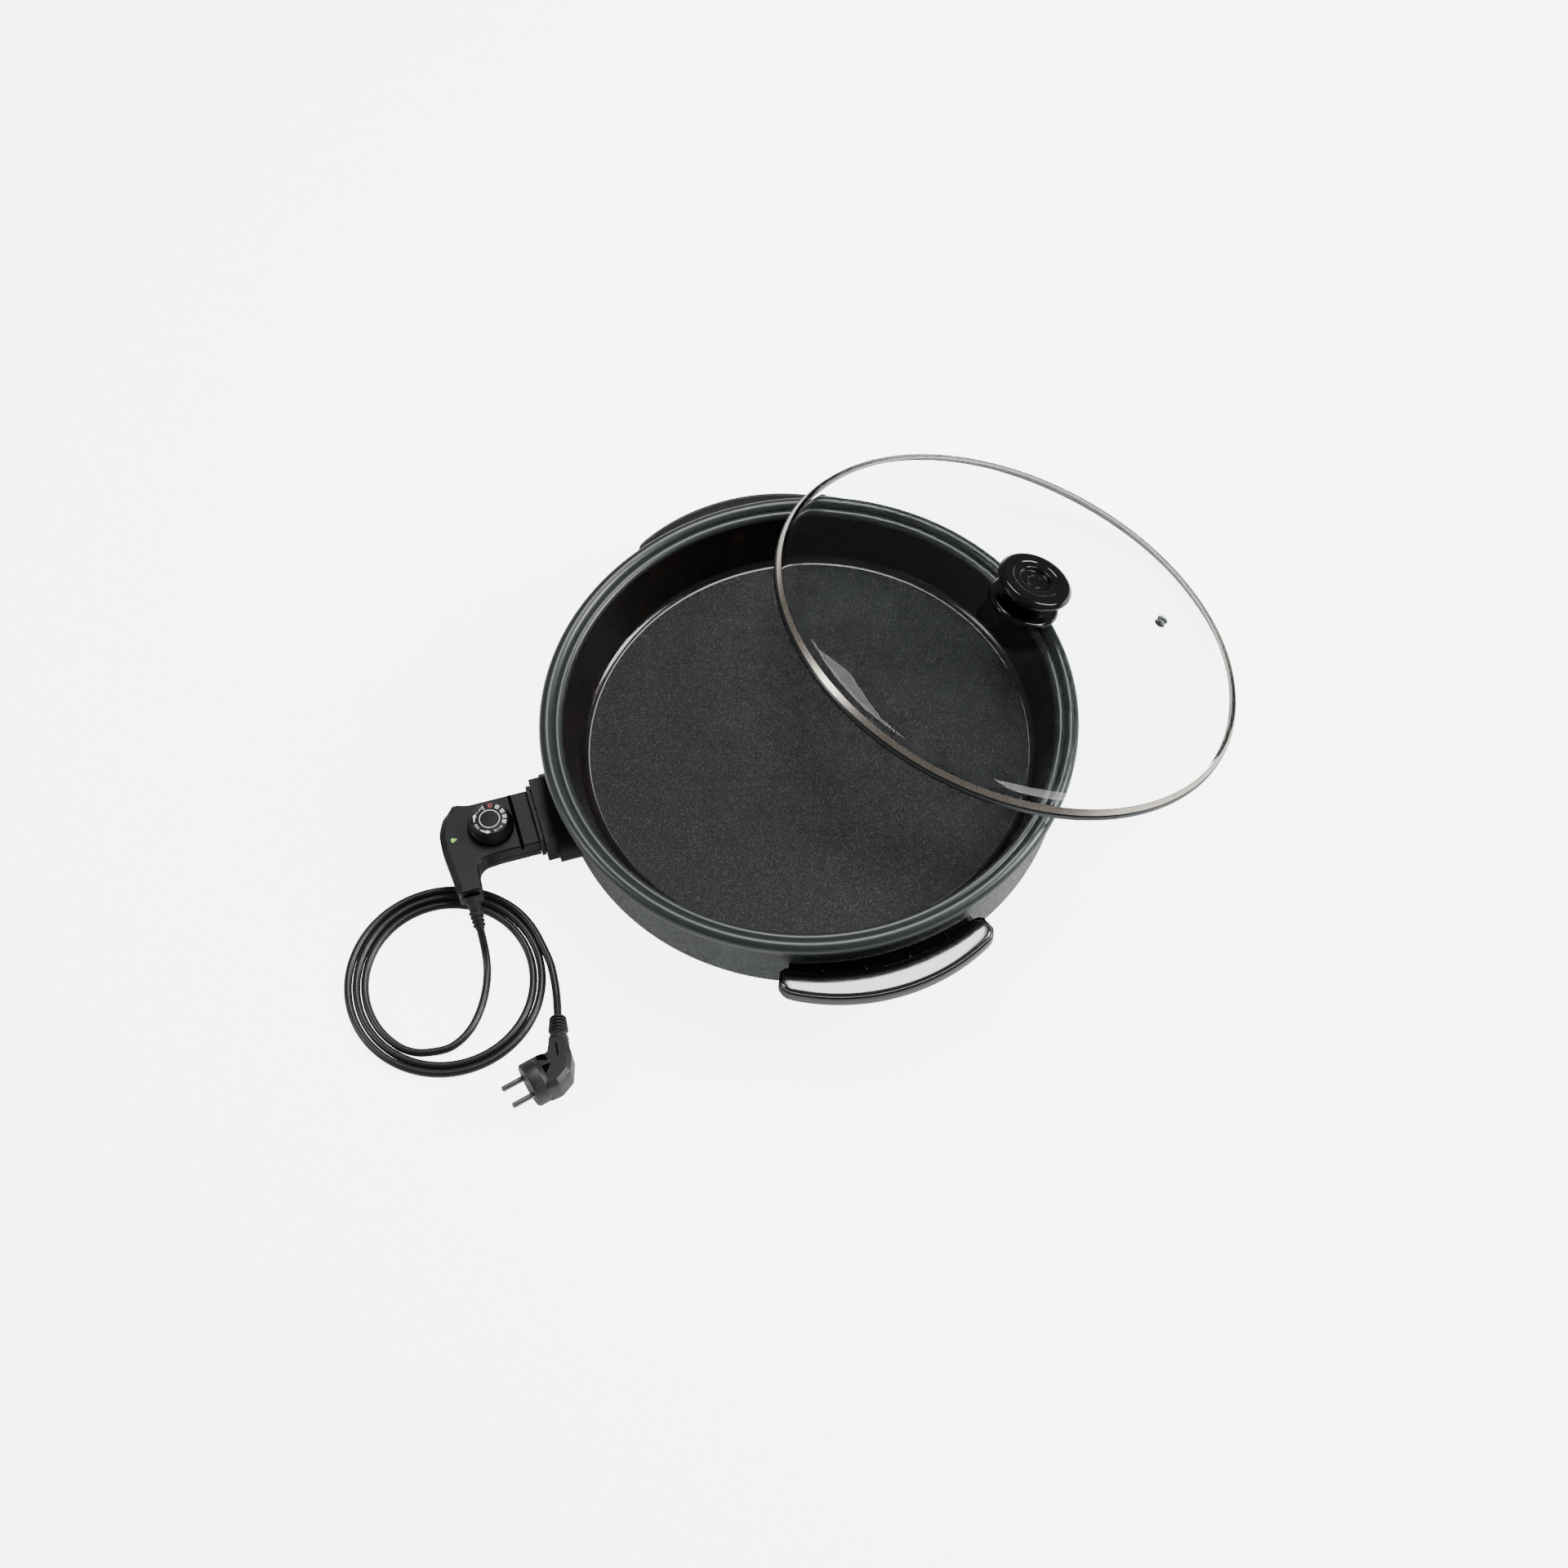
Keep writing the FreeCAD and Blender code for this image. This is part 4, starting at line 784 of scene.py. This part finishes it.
def make_arm_details(plastic, dark):
    """The groove across the arm with its notch, as a near-black strip a little proud of the top whose
    colour paints the groove's shade, and the raised lip of the plain plate.
    """
    near, far = ARM_GROOVE_X - 1.4, ARM_GROOVE_X + 1.4
    edge = CASE_HALF - 0.2
    groove = rounded([(near, -edge, 0.2), (far, -edge, 0.2), (far, edge, 0.2), (near, edge, 0.2)], steps=2)
    bm = bmesh.new()
    # the groove is not cut in: its depth is painted shade on a strip laid over the top
    stack(bm, [at_height(groove, CASE_TOP - 0.6), at_height(groove, CASE_TOP + 0.12)])
    notch_low = (near, -CASE_HALF - 0.5, CASE_TOP - 4)
    block(bm, notch_low, (far, -CASE_HALF + 1.4, CASE_TOP + 0.3), 0.3, 0.2)
    finished("arm_groove", bm, dark, "controller", sharp=30)
    side = CASE_HALF - 0.9
    bm = bmesh.new()
    block(bm, (far, -side, CASE_TOP - 0.4), (CASE_FRONT - 0.6, side, CASE_TOP + 0.18), 0.5, 0.12)
    finished("arm_plate", bm, plastic, "controller", sharp=30)


def make_nose(dark):
    """The stepped flange that closes on the socket."""
    bm = bmesh.new()
    low, high = (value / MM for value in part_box("controller_nose"))
    block(bm, (low.x + 0.05, low.y, low.z), (low.x + 3.6, high.y, high.z), 0.8, 0.5)
    block(bm, (low.x + 2.0, low.y + 2, low.z + 2.7), (high.x, high.y - 2, high.z - 2.8), 0.8, 0.4)
    finished("nose_flange", bm, dark, "controller", "controller_nose", sharp=30)


def make_dial(plastic, white, red, dark):
    """Knurled skirt under a bevelled disc, with its printed scale."""
    low, high = (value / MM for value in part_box("dial"))
    base, top = low.z, high.z
    outer = (high.x - low.x) / 2
    inner = outer - 2.9
    profile = rounded([
        (0, base), (outer - 0.6, base, 0.4), (outer, base + 0.8, 0.4), (outer - 0.5, base + 5.0, 0.3),
        (outer - 1.2, base + 6.0, 0.3), (inner + 0.9, base + 6.6, 0.3), (inner + 0.5, top - 1.6, 0.8),
        (inner - 0.9, top - 0.25, 0.5), (inner - 1.5, top, 0.3), (0, top)], closed=False, steps=4)
    ribs = 60

    def knurl(angle, index):
        """Square ribs on the skirt's upright wall."""
        height = profile[index].y
        if base + 0.7 < height < base + 5.4:
            return 0.42 * (1 if math.cos(ribs * angle) > 0 else -1)
        return 0

    bm = bmesh.new()
    lathe(bm, profile, ribs * 6, closed=False, ripple=knurl)
    centre = Matrix.Translation(Vector((DIAL_X, 0, 0)) * MM)
    finished("dial_knob", bm, plastic, "dial", "dial", centre, sharp=40)
    print_dial(centre, top, white, red, dark)


def sector(bm, inner, outer, start, end, low, high):
    """A flat piece of a ring between two angles in degrees. The radii may be functions of the share."""
    count = max(2, math.ceil(abs(end - start) / 3))
    near = inner if callable(inner) else lambda share: inner
    far = outer if callable(outer) else lambda share: outer
    shares = [step / count for step in range(count + 1)]
    outline = []
    for radius, order in ((far, shares), (near, shares[::-1])):
        for share in order:
            angle = math.radians(start + (end - start) * share)
            outline.append(Vector((radius(share) * math.cos(angle), radius(share) * math.sin(angle))))
    stack(bm, [at_height(outline, low), at_height(outline, high)])


PRINT_TURN = math.radians(-14.4)  # the print's zero heading, measured from +X
INK_RISE = 0.05


def print_dial(centre, top, white, red, dark):
    """White ring, pointer, arrows and number blocks, raised by the thickness of ink."""
    low, high = top - INK_RISE, top + INK_RISE
    spin = centre @ Matrix.Rotation(PRINT_TURN, 4, "Z")
    bm = bmesh.new()
    sector(bm, 7.9, 8.6, 0, 180, low, high)
    sector(bm, 7.9, 8.6, 180, 360, low, high)
    sector(bm, 8.5, 14.2, 115.5, 118.5, low, high)
    for angle in (62, 35, 10, -13):
        sector(bm, 10.8, 14.1, angle - 7.6, angle + 7.6, low, high)
    # curved arrows that widen to their heads
    for tail, head, tip in ((-125, -97, -84), (-166, -190, -203)):
        sector(bm, lambda share: 12.2 - 0.7 * share, lambda share: 12.9 + 0.6 * share,
               tail, head, low, high)
        sector(bm, lambda share: 10.7 + 1.7 * share, lambda share: 14.2 - 1.6 * share,
               head, tip, low, high)
    finished("dial_print_white", bm, white, "dial", placement=spin, sharp=30)
    bm = bmesh.new()
    sector(bm, 10.7, 14.2, 81.5, 98.5, low, high)
    finished("dial_print_red", bm, red, "dial", placement=spin, sharp=30)
    for angle, text in ((90, "5"), (62, "4"), (35, "3"), (10, "2"), (-13, "1")):
        letter(f"dial_number_{text}", text, angle, 12.45, 2.5, high, spin, dark)
    for angle, text, name in ((138, "OFF", "off"), (-145, "ON", "on"), (-51, "MIN", "min")):
        for index, sign in enumerate(text):
            spot = angle + (index - (len(text) - 1) / 2) * 12.5
            letter(f"dial_letter_{name}_{index}", sign, spot, 12.4, 3.2, low, spin, white)


def letter(name, text, angle, radius, size, level, placement, material):
    """One printed sign, its head towards the centre of the dial."""
    data = bpy.data.curves.new(name, "FONT")
    data.body = text
    data.size = size * MM
    data.extrude = INK_RISE * MM
    data.align_x = "CENTER"
    data.align_y = "CENTER"
    data.resolution_u = 4
    data.materials.append(material)
    heading = math.radians(angle)
    sign = bpy.data.objects.new(name, data)
    bpy.context.scene.collection.objects.link(sign)
    spot = Vector((radius * math.cos(heading), radius * math.sin(heading), level + INK_RISE)) * MM
    turned = Matrix.Rotation(heading + math.pi / 2, 4, "Z")
    sign.matrix_world = placement @ Matrix.Translation(spot) @ turned
    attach(sign, "dial")


def make_lamp(green):
    """The lamp's pointed lens, slightly domed."""
    low, high = (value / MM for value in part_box("lamp_lens"))
    tip = (high.x, (low.y + high.y) / 2 + 0.4, 0.7)
    outline = rounded([(low.x, low.y, 1.2), tip, (low.x, high.y, 1.2)], steps=6)
    bm = bmesh.new()
    stack(bm, [at_height(inset(outline, depth), height) for depth, height in (
        (0, low.z), (0, high.z - 0.1), (0.35, high.z + 0.25), (1.0, high.z + 0.45))])
    finished("lamp_pointer", bm, green, "controller", "lamp_lens", sharp=60)


def make_relief(rubber):
    """The tapered sleeve: a flared root, a smooth neck, and ribs near its tip."""
    heading = Vector((0, -math.cos(RELIEF_DROP), -math.sin(RELIEF_DROP)))
    profile = [(0, -3), (7.6, -3), (7.5, 1.6, 1), (5.4, 6.0, 4), (4.9, 10.6, 1)]
    for index in range(4):
        rib_radius = 6.0 - index * 0.3
        start = 11.4 + index * 3.5
        profile += [(rib_radius, start, 0.5), (rib_radius, start + 1.8, 0.5),
                    (rib_radius - 1.2, start + 2.2, 0.3), (rib_radius - 1.3, start + 3.2, 0.3)]
    profile += [(4.1, RELIEF_LENGTH, 0.3), (0, RELIEF_LENGTH)]
    ribbed_sleeve("cord_relief", profile, rubber, "strain_relief",
                  RELIEF_START * MM, heading)


# ---- plug -------------------------------------------------------------------------------------

PLUG_THICK = 23
ELBOW = [(9, -17.6, 3), (20, -18.6, 4), (33, -12.5, 6), (42, 3, 8), (46, 21, 3), (33.5, 26.3, 2),
         (25.5, 14.2, 4), (20, 16.4, 3), (9, 17.2, 3)]


def make_plug(plastic, dark):
    """Angled plug: a round face part, and an elbow with bevelled edges and grips whose recess is painted
    shade.
    """
    bm = bmesh.new()
    face = rounded([(0, 0), (17.2, 0, 0.6), (18.5, 1.6, 0.8), (18.5, 10.5, 1.5), (15.5, 15.0, 1.5),
                    (0, 15)], closed=False, steps=4)
    lathe(bm, face, 96, closed=False)
    bmesh.ops.rotate(bm, verts=bm.verts, cent=(0, 0, 0), matrix=Matrix.Rotation(math.pi / 2, 3, "Y"))
    outline = divided(rounded(ELBOW, steps=6), 4)
    half = PLUG_THICK / 2
    stack(bm, [at_height(inset(outline, depth), height) for depth, height in (
        (3.2, -half), (0.15, -half + 3.0), (0, -half + 3.4),
        (0, half - 3.4), (0.15, half - 3.0), (3.2, half))])
    piece = finished("plug_shell", bm, plastic, "controller", "plug_body", PLUG_FRAME,
                     sharp=24)
    bm = bmesh.new()
    # recessed grips and the slot on the elbow, as near-black inlays a little proud of the flats: their
    # recess is painted shade
    inlays = [[(23.0, 4.5, 1), (22.5, 12.2, 1), (15.6, 15.0, 0.8), (15.6, 9.5, 0.8)],
              [(14.5, -6.5, 0.8), (23.5, 1.5, 0.8), (12.5, 3.6, 0.8)],
              [(30.4, 4.5, 0.6), (31.6, 4.2, 0.6), (36.3, 16.2, 0.6), (35.0, 16.7, 0.6)]]
    for corners in inlays:
        ring = rounded(corners, steps=4)
        stack(bm, [at_height(ring, half - 0.6), at_height(ring, half + 0.12)])
    finished("plug_grips", bm, dark, "controller", placement=PLUG_FRAME, sharp=30)
    return piece


def make_plug_relief(plastic):
    """The plug's sleeve, from the elbow to the lead, with four ribs at its end."""
    start = PLUG_FRAME @ (Vector((39.6, 23.9, 0)) * MM)
    heading = Vector(TAIL[-1]) * MM - start
    length = heading.length / MM
    profile = [(0, -3), (8.4, -3), (8.2, 3, 1)]
    for index in range(4):
        radius = 8.1 - index * 0.35
        at = length - 13.5 + index * 3.4
        profile += [(radius - 2.2, at, 0.3), (radius - 2.2, at + 1.3, 0.3),
                    (radius, at + 1.5, 0.4), (radius, at + 3.1, 0.4)]
    profile += [(5.0, length + 1.6, 0.5), (0, length + 1.6)]
    return ribbed_sleeve("plug_sleeve", profile, plastic, "plug_relief", start, heading)


def make_pins(metal):
    """Two round pins with rounded tips."""
    profile = rounded([(0, -PIN_LENGTH), (PIN_RADIUS, -PIN_LENGTH, 1.8), (PIN_RADIUS, 6), (0, 6)],
                      closed=False, steps=8)
    bm = bmesh.new()
    for side in (PIN_SPACING / 2, -PIN_SPACING / 2):
        before = set(bm.verts)
        lathe(bm, profile, 32, closed=False)
        fresh = [vert for vert in bm.verts if vert not in before]
        bmesh.ops.rotate(bm, verts=fresh, cent=(0, 0, 0), matrix=Matrix.Rotation(math.pi / 2, 3, "Y"))
        bmesh.ops.translate(bm, verts=fresh, vec=(0, side, 0))
    return finished("plug_prongs", bm, metal, "controller", "plug_pins", PLUG_FRAME,
                    sharp=40)


# ---- lid --------------------------------------------------------------------------------------

def dome_height(radius, offset=0):
    """How high the dome's sphere, offset outwards, stands at a radius from the lid's axis."""
    return LID_RISE - LID_CROWN + math.sqrt((LID_CROWN + offset) ** 2 - radius ** 2)


def dome(offset):
    """The dome's section from its axis out to the band, offset outwards from its inner face."""
    points = []
    for step in range(25):
        radius = LID_BEND_RADIUS * step / 24
        points.append(Vector((radius, dome_height(radius, offset))))
    bend = (LID_RADIUS - 8 + offset * 0.55, 9.2 + offset * 0.25, 20)
    edge = (LID_RADIUS - 4.2 + offset * 0.7, 0.3)
    return points[:-1] + rounded([points[-1], bend, edge], closed=False, steps=12)


def make_lid(glass, band, shaded):
    """The glass dome, and the rolled steel band round its edge: its sloping lip in bright steel, the rest
    in a dark copy of the steel that paints shade and dark reflection.
    """
    bm = bmesh.new()
    lathe(bm, dome(GLASS_THICK) + dome(0)[::-1], 256, closed=False)
    finished("glass_dome", bm, glass, "lid", "lid_glass", LID_FRAME, sharp=60)
    radius = LID_RADIUS
    profile = rounded([
        (radius - 3.6, -2.3, 0.9), (radius - 0.9, -2.3, 0.9), (radius, -1.2, 0.9), (radius, 2.4, 0.9),
        (radius - 0.9, 3.6, 0.5), (radius - 3.2, 8.7, 0.3), (radius - 3.8, 8.5, 0.2), (radius - 1.75, 3.4),
        (radius - 1.32, 0.1), (radius - 4.4, 0.0, 0.3), (radius - 4.5, -1.2, 0.5)], steps=5)
    bm = bmesh.new()
    # faces off the bright lip take the dark copy of the steel: painted shade and dark reflection
    for face in lathe(bm, profile, 256):
        centre = face.calc_center_median()
        lip = centre.xy.length > radius - 3.0 and 4.0 < centre.z < 8
        face.material_index = 0 if lip else 1
    finished("steel_rim", bm, [band, shaded], "lid", "lid_band", LID_FRAME, sharp=40)


def make_knob(gloss):
    """The knob's flared foot and its dished cap, both turned."""
    top = LID_RISE + GLASS_THICK
    flange = rounded([
        (0, top + 0.9), (29.4, top + 0.9, 0.4), (30.5, top + 2.2, 0.5), (30.2, top + 3.6, 0.4),
        (28.6, top + 4.9, 1.2), (23.5, top + 6.2, 5), (17.2, top + 9.4, 5), (15, top + 13.2, 4),
        (15, top + 17.4), (0, top + 17.4)], closed=False, steps=8)
    bm = bmesh.new()
    lathe(bm, flange, 160, closed=False)
    finished("knob_foot", bm, gloss, "lid", "knob_base", LID_FRAME, sharp=50)
    cap = rounded([
        (0, top + 17.5), (15.8, top + 17.5, 0.5), (29.4, top + 22.4, 2), (31.6, top + 23.4, 0.4),
        (32.5, top + 24.8, 0.5), (32.4, top + 26.3, 0.6), (29.6, top + 29.2, 1.6), (27.6, top + 29.6, 1),
        (20.6, top + 29.5, 0.2), (20.0, top + 29.1, 0.2), (14.4, top + 28.9, 0.4), (13.4, top + 28.0, 0.4),
        (12.8, top + 26.0, 0.3), (8.0, top + 25.9, 0.2), (7.4, top + 26.5, 0.25), (6.6, top + 26.5, 0.25),
        (6.0, top + 25.8, 0.2), (0, top + 25.8)], closed=False, steps=5)
    bm = bmesh.new()
    lathe(bm, cap, 160, closed=False)
    finished("knob_top", bm, gloss, "lid", "knob_cap", LID_FRAME, sharp=40)


def make_vent(metal):
    """A steel eyelet with a rolled rim, standing square to the glass."""
    profile = rounded([
        (1.7, -1.6, 0.3), (4.8, -1.6, 0.5), (4.9, -0.9, 0.3), (3.0, -0.6), (3.0, 4.3), (4.9, 4.4, 0.4),
        (5.0, 5.3, 0.5), (3.8, 5.6, 0.4), (3.3, 4.9, 0.3), (2.6, 4.9, 0.3), (2.3, 5.5, 0.3),
        (1.7, 5.4, 0.3)], steps=4)
    bm = bmesh.new()
    lathe(bm, profile, 64)
    heading = Vector((math.cos(VENT_ANGLE), math.sin(VENT_ANGLE), 0))
    place = heading * VENT_RADIUS + Vector((0, 0, dome_height(VENT_RADIUS)))
    lean = Matrix.Rotation(math.asin(VENT_RADIUS / LID_CROWN), 4, Vector((-heading.y, heading.x, 0)))
    placement = LID_FRAME @ Matrix.Translation(place * MM) @ lean
    finished("vent_eyelet", bm, metal, "lid", "vent_grommet", placement, sharp=40)


# ---- the scene --------------------------------------------------------------------------------

make_camera()
sheath = cord_rubber()
mains_cord = make_cord(sheath)
rubber = matt_rubber()
plug_skin = plug_plastic()
gloss_black = gloss_moulding()
satin_black = dark_moulding()
grip_black = gloss_moulding("grip_gloss", 0.11, 0.17, Coat_Weight=1.0, Coat_Roughness=0.12, IOR=2.1)
case_skin = case_plastic()
deep_black = dark_moulding("deep_black", (0.0045, 0.005, 0.0052), 0.33, 0.42, 0.3)
# near-black standing in for the shade inside the arm's groove and the plug's recessed grips: painted shade
painted_groove_shade = painted_gap_shade()
nickel = plated("nickel", (0.50, 0.50, 0.48), 0.18, 0.3, (1, 1, 6))
brass = plated("brass", (0.62, 0.45, 0.20), 0.22, 0.35)
zinc = plated("zinc", (0.55, 0.55, 0.56), 0.25, 0.4)
white_ink = ink("white_ink", (0.80, 0.80, 0.78))
red_ink = ink("red_ink", (0.30, 0.03, 0.045))
black_ink = ink("black_ink", (0.02, 0.02, 0.02))

make_relief(rubber)
plug = make_plug(plug_skin, painted_groove_shade)
sleeve = make_plug_relief(plug_skin)
prongs = make_pins(plated("pin_nickel", (0.24, 0.24, 0.23), 0.25, 0.35))

make_studio()
make_pan(nonstick_wall(), nonstick_floor(), rim_enamel())
make_shell(hammered_shell())
make_handle("front_grip", "front_handle", 0, gloss_black, grip_black)
make_handle("rear_grip", "rear_handle", 180, gloss_black, grip_black)
make_case(case_skin, case_side_shade())
make_arm_details(case_skin, painted_groove_shade)
make_nose(deep_black)
make_dial(dark_moulding("dial_black", (0.0045, 0.0045, 0.005), 0.36, 0.46, 0.22),
          white_ink, red_ink, black_ink)
make_lamp(green_glass())
# the band's second steel is a dark copy of the first: painted shade and dark reflection
make_lid(clear_glass(), plated("polished_steel", (0.52, 0.47, 0.40), 0.2, 0.3),
         plated("band_painted_shade", (0.055, 0.060, 0.060), 0.22, 0.32))
make_knob(gloss_black)
make_vent(plated("eyelet_steel", (0.22, 0.23, 0.23), 0.2, 0.3))

CAD_LOOKS = {
    deep_black: ["socket_bracket", "socket_collar"],
    satin_black: ["cord_clamp", "foot_rear_right", "foot_rear_left", "foot_front_left", "foot_front_right"],
    dark_moulding("black_steel", (0.020, 0.021, 0.022), 0.4, 0.55): ["base_cover", "socket_screws"],
    zinc: ["centre_stud", "centre_nut", "foot_screws", "element_clamp", "clamp_studs", "clamp_nuts",
           "case_screws", "knob_washer", "knob_screw"],
    nickel: ["terminal_pins", "probe_rod"],
    brass: ["probe_guide", "earth_tongue", "contact_sleeves", "shaft_bush", "plug_earth_clips"],
    plated("bright_aluminium", (0.80, 0.80, 0.81), 0.2, 0.34, (8, 1, 1)): ["reflector"],
    plated("dark_sheath", (0.12, 0.105, 0.10), 0.4, 0.55): ["heating_element"],
    rubber: ["foot_pads", "knob_gasket"],
    ink("white_ceramic", (0.78, 0.76, 0.72)): ["thermostat_body", "dial_shaft"],
    ink("lamp_amber", (0.75, 0.40, 0.15)): ["indicator_lamp"],
}
for material, nodes in CAD_LOOKS.items():
    for name in nodes:
        painted(name, material)
